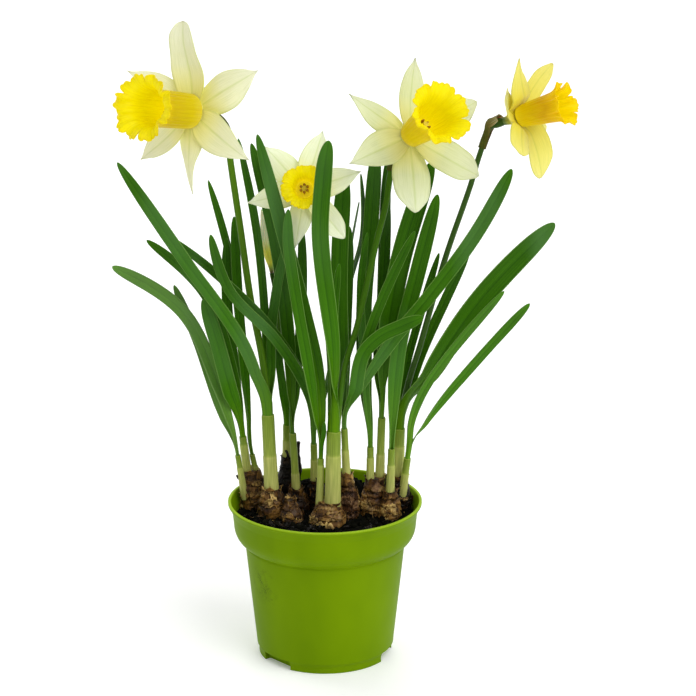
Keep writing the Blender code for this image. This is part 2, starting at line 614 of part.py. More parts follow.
def make_flowers():
    """Petals, cups and spathes of the four open flowers, and the bud."""
    for name, flower in FLOWERS.items():
        middle, ahead = flower_axes(flower)[:2]
        base = flower["cup"][1]
        tube = rod([middle - ahead * TUBE_LENGTH, middle - ahead * 5, middle - ahead * 1.8, middle],
                   [OVARY_RADIUS * 0.8, OVARY_RADIUS, base * 0.8, base * 0.95], 12)
        petals = [petal_body(flower, values, number % 2) for number, values in enumerate(flower["petals"])]
        kind = "petals_yellow" if name == "yellow" else "petals"
        part("petals_" + name, kind, combine(tube, petals, "UNION"))
        part("corona_" + name, "corona", cup_body(flower))
        part("spathe_" + name, "spathe", spathe_body(name))
    foot = Vector(STEMS["bud"]["route"][-1])
    along = Vector(BUD_TIP).normalized()
    points = [foot + along * (GAP + BUD_LENGTH * share) for share in (0, 0.08, 0.3, 0.6, 0.85, 1)]
    part("bud", "bud", rod(points, [BUD_RADIUS * share for share in (0.5, 0.75, 1, 0.95, 0.6, 0.15)], 10))


start_empty()
make_pot()
make_shoots()
make_bulbs()
make_flowers()
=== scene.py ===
# Potted daffodil, dressed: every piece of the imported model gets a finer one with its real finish.
# Places and sizes in the dictionaries are millimetres, and the scene is in metres.
import random
from math import cos, exp, hypot, pi, radians, sin, sqrt
import bpy
import bmesh
from mathutils import Matrix, Vector, noise


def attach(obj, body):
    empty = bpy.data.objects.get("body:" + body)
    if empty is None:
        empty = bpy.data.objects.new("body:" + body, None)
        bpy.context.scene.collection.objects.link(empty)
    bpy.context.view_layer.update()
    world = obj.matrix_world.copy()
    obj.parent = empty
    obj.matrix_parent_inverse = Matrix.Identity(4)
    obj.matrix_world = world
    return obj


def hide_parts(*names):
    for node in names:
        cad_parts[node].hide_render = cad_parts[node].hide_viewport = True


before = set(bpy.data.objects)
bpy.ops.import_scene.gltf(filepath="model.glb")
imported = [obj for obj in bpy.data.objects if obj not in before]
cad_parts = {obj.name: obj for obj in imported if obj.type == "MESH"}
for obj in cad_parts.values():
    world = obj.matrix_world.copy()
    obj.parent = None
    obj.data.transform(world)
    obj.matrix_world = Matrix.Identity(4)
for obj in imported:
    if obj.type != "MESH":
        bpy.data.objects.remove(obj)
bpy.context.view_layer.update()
mm = 0.001
up = Vector((0, 0, 1))
chance = random.Random(11)
print("frame loaded:", len(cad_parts), "nodes")


# paths and shapes

def smoothStep(value):
    value = min(max(value, 0), 1)
    return value * value * (3 - 2 * value)


def smoothPath(points):    # runs smoothly through the points as its argument goes from 0 to 1
    points = [Vector(point) for point in points]
    last = len(points) - 1
    knots = [0.0]
    for near, far in zip(points, points[1:]):
        knots.append(knots[-1] + (far - near).length)
    slopes = []
    for i in range(last + 1):
        low = max(i - 1, 0)
        high = min(i + 1, last)
        slopes.append((points[high] - points[low]) / (knots[high] - knots[low]))
    if last > 1:
        slopes[0] = 1.5 * (points[1] - points[0]) / knots[1] - 0.5 * slopes[1]
        slopes[-1] = 1.5 * (points[-1] - points[-2]) / (knots[-1] - knots[-2]) - 0.5 * slopes[-2]

    def place(share):
        run = min(max(share, 0), 1) * knots[-1]
        i = max(j for j in range(last) if knots[j] <= run)
        span = knots[i + 1] - knots[i]
        f = (run - knots[i]) / span
        start = points[i] * (1 + 2 * f) * (1 - f) ** 2 + slopes[i] * span * f * (1 - f) ** 2
        end = points[i + 1] * f * f * (3 - 2 * f) + slopes[i + 1] * span * f * f * (f - 1)
        return start + end

    place.length = knots[-1]
    return place


def heading(path, share):
    return (path(min(share + 0.01, 1)) - path(max(share - 0.01, 0))).normalized()


def ring(first, second, angle):    # a unit step from the first direction towards the second
    return first * cos(angle) + second * sin(angle)


def facing(angle):    # level, from -Y towards +X
    return Vector((sin(angle), -cos(angle), 0))


def rough(point, scale, seed=0.0):    # smooth noise between about -1 and 1
    return noise.noise(Vector(point) * scale + Vector((seed, seed * 1.7, -seed)))


def newShape():
    shape = bmesh.new()
    shape.loops.layers.uv.new("UVMap")
    shape.verts.layers.float.new("tint")
    return shape


def layGrid(shape, across, along, place, tint=0.5, closed=False, caps=False):
    # a grid laid on place(u, t), with u from -1 to 1 and t from 0 to 1; closed joins its two sides
    uv = shape.loops.layers.uv["UVMap"]
    shade = shape.verts.layers.float["tint"]
    made = bmesh.ops.create_grid(shape, x_segments=across, y_segments=along, size=0.5)["verts"]
    for face in {face for corner in made for face in corner.link_faces}:
        for loop in face.loops:
            loop[uv].uv = (loop.vert.co.x + 0.5, loop.vert.co.y + 0.5)
    low = []
    high = []
    for corner in made:
        u = 2 * corner.co.x
        t = corner.co.y + 0.5
        if t < 0.001:
            low.append(corner)
        if t > 0.999:
            high.append(corner)
        corner[shade] = tint(u, t) if callable(tint) else tint
        corner.co = place(u, t) * mm
    if closed:
        found = bmesh.ops.find_doubles(shape, verts=made, dist=0.002 * mm)["targetmap"]
        bmesh.ops.weld_verts(shape, targetmap=found)
        for end in (low, high) if caps else ():
            left = {corner for corner in end if corner.is_valid}
            edges = {edge for corner in left for edge in corner.link_edges if edge.is_boundary}
            bmesh.ops.contextual_create(shape, geom=list(edges))


def layTube(shape, path, radiusAt, side, sides, rows, tint=0.5):
    # a tube round a path; side is a direction that the path never runs along
    def place(u, t):
        tangent = heading(path, t)
        across = (side - tangent * side.dot(tangent)).normalized()
        other = tangent.cross(across)
        return path(t) + ring(across, other, pi * u) * radiusAt(u, t)

    layGrid(shape, sides, rows, place, tint, closed=True, caps=True)


def addObject(name, data):
    made = bpy.data.objects.new(name, data)
    bpy.context.scene.collection.objects.link(made)
    return made


def endShape(shape, name):
    mesh = bpy.data.meshes.new(name)
    shape.to_mesh(mesh)
    shape.free()
    return mesh


def finishPiece(shape, name, nodes, paints, thickness=0.0, offset=0.0, crease=50):
    bmesh.ops.recalc_face_normals(shape, faces=shape.faces)
    mesh = endShape(shape, name)
    piece = addObject(name, mesh)
    for paint in paints:
        mesh.materials.append(paint)
    mesh.shade_smooth()
    mesh.set_sharp_from_angle(angle=radians(crease))
    if thickness:
        solid = piece.modifiers.new("thickness", "SOLIDIFY")
        solid.thickness = thickness * mm
        solid.offset = offset
    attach(piece, "root")
    if nodes:
        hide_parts(*nodes)
    return piece


# finishes: each of these adds a node and returns its output, and takes an output, a number or a colour

def plug(paint, value, socket):
    if isinstance(value, bpy.types.NodeSocket):
        paint.node_tree.links.new(value, socket)
    else:
        socket.default_value = (*value, 1) if socket.type == "RGBA" else value


def startPaint(name, roughness, gloss=0.5, **sockets):
    paint = bpy.data.materials.new(name)
    paint.use_nodes = True
    shader = paint.node_tree.nodes["Principled BSDF"]
    shader.inputs["Roughness"].default_value = roughness
    shader.inputs["Specular IOR Level"].default_value = gloss
    for socket, value in sockets.items():
        plug(paint, value, shader.inputs[socket.replace("_", " ")])
    return paint


def addNode(paint, kind, output, inputs, **settings):
    made = paint.node_tree.nodes.new("ShaderNode" + kind)
    for name, value in settings.items():
        setattr(made, name, value)
    for place, value in inputs.items():
        plug(paint, value, made.inputs[place])
    return made.outputs[output]


def endPaint(paint, colour, height, strength, depth):    # base colour, and bumps with a depth in millimetres
    shader = paint.node_tree.nodes["Principled BSDF"]
    plug(paint, colour, shader.inputs["Base Color"])
    bump = addNode(paint, "Bump", "Normal", {"Strength": strength, "Distance": depth * mm, "Height": height})
    plug(paint, bump, shader.inputs["Normal"])
    return paint


def addCoords(paint, kind, scale):    # UV or Object coordinates, stretched by a scale for each axis
    coords = addNode(paint, "TexCoord", kind, {})
    return addNode(paint, "Mapping", "Vector", {"Vector": coords, "Scale": scale})


def addAxis(paint, kind, axis):    # UV runs from 0 to 1, across a piece in X and along it in Y
    coords = addNode(paint, "TexCoord", kind, {})
    return addNode(paint, "SeparateXYZ", axis, {"Vector": coords})


def addAside(paint):    # how far a point lies from the middle line of a piece, from 0 to 0.5
    aside = addMath(paint, "SUBTRACT", addAxis(paint, "UV", "X"), 0.5)
    return addMath(paint, "ABSOLUTE", aside, 0.0)


def addNoise(paint, scale, detail=3.0, lumps=0.55, twist=0.0, kind="Object", stretch=(1, 1, 1)):
    return addNode(paint, "TexNoise", "Fac", {
        "Vector": addCoords(paint, kind, stretch), "Scale": scale, "Detail": detail, "Roughness": lumps,
        "Distortion": twist})


def addGrain(paint, across, along, scale, detail=3.0, lumps=0.55):    # noise drawn out along a piece
    return addNoise(paint, scale, detail, lumps, kind="UV", stretch=(across, along, 1))


def addRamp(paint, source, stops):    # a stop is a place with a colour or a grey
    colours = addNode(paint, "ValToRGB", "Color", {"Fac": source})
    ramp = colours.node.color_ramp
    while len(ramp.elements) < len(stops):
        ramp.elements.new(1.0)
    for element, (place, colour) in zip(ramp.elements, stops):
        element.position = place
        element.color = (*colour, 1) if isinstance(colour, tuple) else (colour, colour, colour, 1)
    return colours


def addMath(paint, operation, first, second, third=0.0, clamp=False):
    values = {0: first, 1: second, 2: third}
    return addNode(paint, "Math", "Value", values, operation=operation, use_clamp=clamp)


def addMix(paint, mode, share, base, other):
    return addNode(paint, "Mix", 2, {0: share, 6: base, 7: other}, data_type="RGBA", blend_type=mode)


def addShade(paint, colour, share, source, stops):    # a colour made darker and lighter by a ramp
    return addMix(paint, "MULTIPLY", share, colour, addRamp(paint, source, stops))


def endVeined(paint, colour, share, veins, stops, bumps):    # veins shade the colour and stand out as bumps
    return endPaint(paint, addShade(paint, colour, share, veins, stops), veins, bumps, bumps)


def addTint(paint):
    return addNode(paint, "Attribute", "Fac", {}, attribute_name="tint")


print("helpers ready")


# pot

pot = {
    "rimRadius": 60.0, "rimHeight": 99.0, "wall": 1.6, "floor": 2.2, "footRadius": 41.5, "footHeight": 6.0,
    "cornerRadius": 35.3, "segments": 144, "niches": (-47, -167, 73), "nicheWidth": 23.0, "nicheDepth": 5.5,
    # the lip's pale green, over its depths below the rim, is a painted highlight
    "nicheCorner": 1.2, "edge": 0.4, "crease": 38, "lipHighlightDepths": (1.2, 0.1), "green": (0.153, 0.264, 0.0),
    "deepGreen": (0.125, 0.225, 0.0), "lipHighlightGreen": (0.30, 0.46, 0.02), "speckGreen": (0.10, 0.14, 0.02),
    "scuffGreen": (0.022, 0.045, 0.003), "scuffPlace": (-38.5, -30.0, 53.0), "scuffSize": 14.0,
    "scuffMarks": [(0.475, 0), (0.50, 1), (0.53, 0.1), (0.57, 0), (0.60, 1)],
}
# outer side from the lip down: collar with a rounded lower edge, crisp line, tapered wall
potSide = [
    (pot["rimRadius"], 98.9), (pot["rimRadius"], 97.4), (59.1, 96.7), (58.2, 94.6), (57.2, 91.5),
    (56.7, 86.5), (56.3, 82.0), (55.8, 79.8), (54.9, 77.6), (53.6, 75.6), (52.1, 74.0), (50.9, 73.1),
    (49.95, 72.5), (49.2, 71.8), (49.5, 70.7), (42.9, 8.6),
]
potInside = [(57.3, 96.4), (55.6, 91.5), (54.7, 82.0), (53.6, 78.8), (51.4, 75.2), (48.1, 72.0)]


def spinBody(profile, segments, edge=0.0):    # a closed body turned from a profile of radius and height
    shape = newShape()
    corners = [shape.verts.new((radius * mm, 0, height * mm)) for radius, height in profile]
    line = [shape.edges.new(pair) for pair in zip(corners, corners[1:])]
    if edge:
        bmesh.ops.bevel(shape, geom=corners[1:-1], offset=edge * mm, segments=3, profile=0.5,
                        affect="VERTICES", clamp_overlap=True, material=-1)
        line = list(shape.edges)
    bmesh.ops.spin(shape, geom=list(shape.verts) + line, axis=(0, 0, 1), cent=(0, 0, 0), angle=2 * pi,
                   steps=segments, use_merge=True)
    bmesh.ops.remove_doubles(shape, verts=shape.verts, dist=0.01 * mm)
    bmesh.ops.recalc_face_normals(shape, faces=shape.faces)
    return shape


def cutNiches(piece):
    cutters = bmesh.new()
    size = (pot["nicheWidth"], 2 * pot["nicheDepth"], 2 * pot["footHeight"])
    for direction in pot["niches"]:
        made = bmesh.ops.create_cube(cutters, size=mm)["verts"]
        edges = list({edge for corner in made for edge in corner.link_edges})
        bmesh.ops.scale(cutters, vec=size, verts=made)
        upright = [edge for edge in edges if abs(edge.verts[0].co.z - edge.verts[1].co.z) > mm]
        rounded = bmesh.ops.bevel(cutters, geom=upright, offset=pot["nicheCorner"] * mm, segments=4,
                                  profile=0.5, affect="EDGES", material=-1)["verts"]
        moved = [corner for corner in set(made) | set(rounded) if corner.is_valid]
        bmesh.ops.translate(cutters, vec=(0, -pot["footRadius"] * mm, 0), verts=moved)
        bmesh.ops.rotate(cutters, matrix=Matrix.Rotation(radians(direction), 3, "Z"), verts=moved)
    tool = addObject("nicheCutters", endShape(cutters, "nicheCutters"))
    boolean = piece.modifiers.new("niches", "BOOLEAN")
    boolean.operation = "DIFFERENCE"
    boolean.solver = "EXACT"
    boolean.object = tool
    view = bpy.context.evaluated_depsgraph_get()
    cut = bpy.data.meshes.new_from_object(piece.evaluated_get(view))
    piece.modifiers.clear()
    piece.data = cut
    bpy.data.objects.remove(tool, do_unlink=True)
    cut.shade_smooth()
    cut.set_sharp_from_angle(angle=radians(pot["crease"]))


def paintPot():
    paint = startPaint("limePlastic", 0.45, 0.03)
    cloudy = addNoise(paint, 28, 2, stretch=(1, 1, 0.5))
    colour = addRamp(paint, cloudy, [(0.35, pot["deepGreen"]), (0.65, pot["green"])])
    # painted highlight: the lip gets paler over a short way below the rim
    low, high = [(pot["rimHeight"] - below) * mm for below in pot["lipHighlightDepths"]]
    lip = addNode(paint, "MapRange", "Result", {
        "Value": addAxis(paint, "Object", "Z"), "From Min": low, "From Max": high})
    colour = addMix(paint, "MIX", lip, colour, pot["lipHighlightGreen"])
    # scratches round one place, fainter further out and broken up
    away = addNode(paint, "VectorMath", "Value", {
        0: addNode(paint, "TexCoord", "Object", {}), 1: Vector(pot["scuffPlace"]) * mm}, operation="DISTANCE")
    near = addNode(paint, "MapRange", "Result", {
        "Value": away, "From Min": pot["scuffSize"] * mm, "From Max": 0.0})
    marks = addRamp(paint, addNoise(paint, 330, 4, 0.6, 2.5, stretch=(1, 1, 1.8)), pot["scuffMarks"])
    breaks = addRamp(paint, addNoise(paint, 120, 2), [(0.42, 0), (0.56, 1)])
    scuff = addMath(paint, "MULTIPLY", addMath(paint, "POWER", near, 0.6), breaks)
    scuff = addMath(paint, "MULTIPLY", scuff, marks)
    colour = addMix(paint, "MIX", scuff, colour, pot["scuffGreen"])
    specks = addRamp(paint, addNoise(paint, 300, 5, 0.7), [(0.70, 0), (0.76, 0.5)])
    colour = addMix(paint, "MIX", specks, colour, pot["speckGreen"])
    return endPaint(paint, colour, addNoise(paint, 900, 2), 0.06, 0.15)


inside = potInside + [
    (pot["footRadius"] - 0.6, pot["footHeight"] + 3), (pot["cornerRadius"], pot["footHeight"] + 2),
    (pot["cornerRadius"], pot["floor"]), (0, pot["floor"])]
lip = [(pot["rimRadius"] - pot["wall"], pot["rimHeight"]), (pot["rimRadius"] - 0.4, pot["rimHeight"])]
foot = [(42.7, 6.2), (41.9, 4.8), (pot["footRadius"], 3.4), (pot["footRadius"], 0), (0, 0)]
shape = spinBody(inside[::-1] + lip + potSide + foot, pot["segments"], pot["edge"])
potPiece = finishPiece(shape, "potShell", ["pot"], [paintPot()])
cutNiches(potPiece)
print("pot done")


# soil

soil = {
    "height": 88.5, "highest": 98.0, "gap": 0.3, "bumps": 1.6, "grain": 0.9, "rings": 60, "segments": 150,
    "crumbs": 760, "crumbSize": (0.7, 2.5), "crumbFlat": 0.8, "flecks": 40,
    "dark": (0.0008, 0.0010, 0.0006), "brown": (0.0045, 0.0042, 0.002), "light": (0.016, 0.014, 0.006),
    # x, y, height and width of the heaps at the back
    "heaps": [(17, 38, 11.0, 10.0), (-12, 40, 9.0, 9.0), (41, 21, 3.0, 10.0), (-30, 34, 4.0, 9.0)],
}


def soilHeight(x, y):
    point = Vector((x, y, 0))
    low = rough(point, 0.11) * soil["bumps"] + rough(point, 0.45, 5) * soil["grain"]
    for heapX, heapY, tall, wide in soil["heaps"]:
        low += tall * exp(-((x - heapX) ** 2 + (y - heapY) ** 2) / wide ** 2)
    return min(soil["height"] + low + abs(rough(point, 1.3, 9)) * 0.7 - 0.25, soil["highest"])


def paintSoil():
    paint = startPaint("darkSoilWithShade", 0.92, 0.06)
    lumps = addNoise(paint, 260, 6, 0.7)
    # the soil colours are near black: dark soil, made darker still as painted shade for the shadow down
    # inside the pot
    colour = addRamp(paint, lumps, [(0.40, soil["dark"]), (0.60, soil["brown"]), (0.78, soil["light"])])
    colour = addMix(paint, "MULTIPLY", 1.0, colour, addTint(paint))
    return endPaint(paint, colour, addNoise(paint, 700, 4, 0.7), 0.8, 0.5)


def layCrumb(shape, point, size, tint):
    shade = shape.verts.layers.float["tint"]
    made = bmesh.ops.create_icosphere(shape, subdivisions=1, radius=size * mm)["verts"]
    seed = chance.random() * 40
    for corner in made:
        corner.co *= 1 + 0.45 * rough(corner.co / mm, 0.9, seed)
        corner.co.z *= soil["crumbFlat"]
        corner[shade] = tint
    turn = Matrix.Rotation(chance.uniform(0, 2 * pi), 3, (chance.random(), chance.random(), 0.3))
    bmesh.ops.rotate(shape, matrix=turn, verts=made)
    bmesh.ops.translate(shape, vec=Vector(point) * mm, verts=made)


def makeSoil():
    gap = soil["gap"]
    low = pot["footHeight"] + gap
    side = [(radius - gap, height) for radius, height in potInside[1:]]
    edge = side[0][0] - gap
    top = [(edge * share / soil["rings"], soil["height"]) for share in range(soil["rings"] + 1)]
    bottom = [
        (pot["footRadius"] - 0.8, low + 3), (pot["cornerRadius"] - gap, low + 2),
        (pot["cornerRadius"] - gap, pot["floor"] + gap), (0, pot["floor"] + gap)]
    shape = spinBody(top + side[1:] + bottom, soil["segments"])
    shade = shape.verts.layers.float["tint"]
    for corner in shape.verts:
        corner[shade] = 1.0
        place = corner.co / mm
        if place.z > soil["height"] - 0.5 and hypot(place.x, place.y) < edge - 0.5:
            corner.co.z = soilHeight(place.x, place.y) * mm
    for number in range(soil["crumbs"] + soil["flecks"]):
        away = edge * sqrt(chance.random()) * 0.98
        angle = chance.uniform(0, 2 * pi)
        size = chance.uniform(*soil["crumbSize"]) * (0.5 if number >= soil["crumbs"] else 1)
        away = min(away, edge - size)
        x = away * cos(angle)
        y = away * sin(angle)
        tint = chance.uniform(0.4, 1.8) if number < soil["crumbs"] else chance.uniform(2.0, 5)
        layCrumb(shape, (x, y, soilHeight(x, y) + size * 0.25), size, tint)
    finishPiece(shape, "soilBed", ["soil"], [paintSoil()], crease=180)


makeSoil()
print("soil done")


# bulbs: for each lobe its middle x and y, radius, height of the widest part, height of the neck, radius of
# the neck, and the neck's x and y

bulbs = {
    "bulb_left": [(-43.5, 17, 8.2, 91, 112, 5.6, -46, 17)],
    "bulb_left_front": [(-32, 1, 8.8, 90, 106, 5.6, -33, 1), (-21, -7.5, 7.0, 88.5, 101, 3.0, -21.5, -6.5)],
    "bulb_centre_left": [(-18, 12, 7.6, 89, 102, 4.2, -18, 11.5)],
    "bulb_back": [(-24, 28, 6.5, 92, 118, 3.4, -24, 27)],
    "bulb_centre_back": [(-4, 17, 6.2, 90, 106, 3.6, -6, 15.5)],
    "bulb_front": [(2, -12, 10.5, 89, 102, 6.4, 3, -12)],
    "bulb_slim": [(15.5, -1, 5.5, 90, 116, 3.3, 13.3, -0.3)],
    "bulb_twin": [(29.5, 4, 7.4, 90, 112, 5.6, 31, 4), (40, -1, 6.8, 89, 105, 4, 40.3, -1.5)],
    "bulb_right_back": [(46.5, 12.5, 6.2, 91, 110, 4.8, 46.3, 12)],
}
bulbLook = {
    "sides": 84, "rows": 74, "layers": 4.2, "layerStep": 0.75, "wobble": 1.6, "lumps": 0.35,
    "flakes": 7, "flakeSize": (4.0, 9.0), "neckFlaps": 7, "flapTall": (0.6, 3.6), "roots": 46, "swell": 0.7,
    "flakeGrid": (9, 8), "stubGrid": (12, 20), "rootGrid": (5, 10),
    "rootReach": 54, "skinThickness": 0.16, "plates": 80.0, "dark": (0.006, 0.003, 0.0015),
    "brown": (0.060, 0.026, 0.006), "tan": (0.215, 0.108, 0.024), "pale": (0.60, 0.42, 0.15),
    "cracks": [(0.0, (0.10, 0.07, 0.06)), (0.03, (0.4, 0.36, 0.34)), (0.08, 1)],
    # the broad purple patches are painted shade
    "purpleShade": [(0.40, (0.34, 0.26, 0.32)), (0.54, (1.12, 1.10, 1.0))],
}
# how pale each bulb's skin is
bulbTints = {
    "bulb_left": 0.50, "bulb_left_front": 0.48, "bulb_centre_left": 0.36, "bulb_back": 0.06,
    "bulb_centre_back": 0.16, "bulb_front": 0.64, "bulb_slim": 0.60, "bulb_twin": 0.60,
    "bulb_right_back": 0.30,
}
# torn skins that stand out: bulb, lobe, direction in degrees from -Y towards +X, share of the height from the
# widest part to the neck, width, height, how far the free edge stands off, and paleness
tornSkins = [
    ("bulb_front", 0, -20, -0.10, 12.0, 9.0, 1.6, 1.05), ("bulb_front", 0, -52, 0.2, 7.0, 5.0, 1.0, 0.75),
    ("bulb_front", 0, 30, 0.45, 6.0, 4.5, 0.8, 0.7),
    ("bulb_slim", 0, -12, 0.42, 7.0, 5.5, 1.3, 0.95), ("bulb_slim", 0, 40, 0.30, 4.0, 4.5, 1.0, 0.85),
    ("bulb_twin", 0, -30, 0.25, 8.0, 5.0, 1.3, 0.9), ("bulb_twin", 0, 15, 0.75, 7.0, 3.5, 1.0, 0.9),
    ("bulb_twin", 0, 35, 0.05, 6.0, 5.0, 1.0, 0.6), ("bulb_twin", 1, 0, 0.35, 8.0, 7.5, 1.2, 0.85),
    ("bulb_twin", 1, -25, -0.05, 5.0, 3.5, 1.2, 1.0), ("bulb_right_back", 0, 10, 0.3, 7.0, 3.0, 1.2, 0.95),
    ("bulb_left", 0, -62, -0.15, 3.6, 5.5, 0.9, 1.1), ("bulb_left", 0, 8, 0.35, 8.0, 5.0, 0.9, 0.65),
    ("bulb_left", 0, 20, 0.70, 6.5, 3.5, 0.7, 0.7), ("bulb_left", 0, -10, 0.0, 7.0, 5.5, 0.9, 0.45),
    ("bulb_left_front", 0, -15, 0.55, 6.0, 5.5, 1.5, 0.75),
    ("bulb_left_front", 0, 20, 0.2, 9.0, 6.5, 1.2, 0.5),
    ("bulb_left_front", 0, 5, 0.85, 4.0, 5.0, 1.2, 0.9),
    ("bulb_centre_left", 0, -20, 0.5, 5.5, 6.5, 1.0, 0.55),
    ("bulb_left_front", 1, -10, 0.3, 7.0, 5.5, 1.2, 0.55),
    ("bulb_left_front", 1, 25, 0.0, 6.0, 5.0, 1.2, 0.6),
    ("bulb_back", 0, 15, 0.35, 5.0, 5.0, 0.9, 0.15), ("bulb_centre_back", 0, -30, 0.6, 4.0, 5.0, 0.9, 0.5),
]


def lobeLayer(lobe, turn, height):    # 1 at the outer edge of a ring of skin and 0 where the next one starts
    seed = lobe[0] * 0.37 + lobe[1]
    step = height / bulbLook["layers"] + 0.45 * rough(turn * bulbLook["wobble"], 1, seed)
    step += 0.25 * rough(turn * 4 + up * height * 0.3, 1, seed + 2)
    return 1 - (step - int(step))


def lobeSpot(lobe, angle, share, outwards=0.0):    # share: -1 at the bottom, 0 at the widest, 1 at the neck
    x, y, radius, middle, top, neck, neckX, neckY = lobe
    radius += bulbLook["swell"]
    if share < 0:
        height = middle + 1.15 * radius * sin(0.5 * pi * share)
        wide = radius * cos(0.5 * pi * share)
        lean = 0
    else:
        height = middle + (top - middle) * share
        wide = radius * (neck / radius + (1 - neck / radius) * (0.5 + 0.5 * cos(pi * share ** 1.35)))
        lean = share ** 1.5
    turn = facing(angle)
    seed = x * 0.37 + y
    loose = lobeLayer(lobe, turn, height)
    wide += bulbLook["layerStep"] * (loose ** 0.6 - 0.7) * min(1, wide / 4)
    wide += bulbLook["lumps"] * rough(turn * wide + up * height * 0.6, 0.30, seed)
    wide += 0.22 * rough(turn * 14 + up * height * 0.12, 1.1, seed)
    middleLine = Vector((x + (neckX - x) * lean, y + (neckY - y) * lean, height))
    return middleLine + turn * max(wide + outwards, 0.05)


def layFlake(shape, lobe, turn, share, width, height, lift, tint):
    seed = chance.random() * 50
    lobeTall = lobe[4] - lobe[3]
    tilt = chance.uniform(-0.35, 0.35)

    def place(u, t):
        ragged = 1 + 0.45 * rough((u * 1.5, t * 3, 0), 1.7, seed)
        ragged *= 0.55 + 0.45 * sin(pi * (0.15 + 0.7 * t))
        angle = turn + u * ragged * width / (2 * lobe[2]) + tilt * (t - 0.5)
        fall = share + height / lobeTall * (t - 0.5) * (1 + 0.7 * rough((u * 2.5, 0, t), 1.3, seed + 5))
        free = lift * (max(t - 0.25, 0) ** 1.6 + 0.5 * u * u * abs(u)) + 0.45
        free += 0.35 * rough((u * 2, t * 2, 0), 1.4, seed)
        return lobeSpot(lobe, angle, max(min(fall, 0.99), -0.9), free)

    def shade(u, t):
        return tint + 0.12 * max(abs(u) ** 4, t ** 5) + 0.1 * rough((u * 2, t * 5, 0), 1.5, seed)

    layGrid(shape, *bulbLook["flakeGrid"], place, shade)


def layNeckFlap(shape, lobe, turn, tall, tint):    # a pointed scrap of skin that stands up round the neck
    top, neck, neckX, neckY = lobe[4:]
    seed = chance.random() * 50
    wide = chance.uniform(0.5, 0.95)
    lean = chance.uniform(-0.5, 0.5)
    off = chance.uniform(0.1, 0.9)

    def place(u, t):
        angle = turn + u * wide * (1 - t ** 1.4) + lean * t * t + 0.12 * rough((u, t * 3, 0), 1.4, seed)
        if t < 0.4:
            return lobeSpot(lobe, angle, 0.72 + 0.27 * t / 0.4, 0.35)
        rise = (t - 0.4) / 0.6
        out = neck + 0.5 + off * rise ** 1.5 + 0.3 * rough((u * 2, t * 4, 0), 1, seed)
        height = top + tall * rise * (1 - 0.15 * u * u)
        return Vector((neckX, neckY, height)) + facing(angle) * out

    def shade(u, t):
        return tint + 0.16 * t * t + 0.1 * abs(u) ** 3

    layGrid(shape, 6, 10, place, shade)


def paintBulb():
    paint = startPaint("paperyBulb", 0.42, 0.25)
    patches = addNoise(paint, 90, 3, 0.55, stretch=(1, 1, 1.6))
    rings = addNoise(paint, 420, 4, 0.65, stretch=(0.22, 0.22, 1))
    fibres = addNoise(paint, 620, 3, 0.6, stretch=(1, 1, 0.12))
    paleness = addMath(paint, "MULTIPLY_ADD", patches, 0.45, addTint(paint))
    paleness = addMath(paint, "MULTIPLY_ADD", rings, 0.6, paleness)
    paleness = addMath(paint, "MULTIPLY_ADD", fibres, 0.5, paleness)
    paleness = addMath(paint, "MULTIPLY_ADD", paleness, 0.9, -0.64)
    colour = addRamp(paint, paleness, [
        (0.12, bulbLook["dark"]), (0.40, bulbLook["brown"]), (0.62, bulbLook["tan"]),
        (0.92, bulbLook["pale"])])
    # dark cracks between the plates of old skin, then broad noise patches that are darker and more purple,
    # painted shade for the purple-brown shadow between the bulbs
    bend = addNoise(paint, 160, 3, 0.6).node.outputs["Color"]
    bent = addMix(paint, "MIX", 0.012, addCoords(paint, "Object", (1, 1, 1.5)), bend)
    plates = addNode(paint, "TexVoronoi", "Distance", {"Vector": bent, "Scale": bulbLook["plates"]},
                     feature="DISTANCE_TO_EDGE")
    cracks = addRamp(paint, plates, bulbLook["cracks"])
    colour = addMix(paint, "MULTIPLY", 0.8, colour, cracks)
    purpleShadeNoise = addNoise(paint, 55, 2, stretch=(1, 1, 0.8))
    colour = addShade(paint, colour, 1.0, purpleShadeNoise, bulbLook["purpleShade"])
    relief = addMath(paint, "MULTIPLY_ADD", rings, 0.8, fibres)
    relief = addMath(paint, "ADD", relief, cracks)
    return endPaint(paint, colour, relief, 0.8, 0.8)


bulbPaint = paintBulb()


def makeBulb(name):
    shape = newShape()
    tint = bulbTints[name]
    for lobe in bulbs[name]:
        tall = lobe[4] - lobe[3]

        def shareAt(t):
            return 2 * t - 1 if t < 0.3 else -0.4 + 1.4 * (t - 0.3) / 0.7

        def place(u, t):
            return lobeSpot(lobe, pi * u, shareAt(t))

        def shade(u, t):
            height = lobe[3] + tall * max(shareAt(t), 0)
            loose = lobeLayer(lobe, facing(pi * u), height) if t > 0.5 else 0.6
            # painted shade: darkest in the crease under each ring of skin and lightest at the ring's outer
            # edge; the skin is also darker towards the bottom
            crease = 0.30 * (loose ** 0.5 - 0.75) - 0.22 * max(1 - loose / 0.12, 0)
            return tint + crease - 0.25 * max(0.45 - t, 0) / 0.45

        layGrid(shape, bulbLook["sides"], bulbLook["rows"], place, shade, closed=True, caps=True)
    finishPiece(shape, name + "Body", [name], [bulbPaint], crease=180)


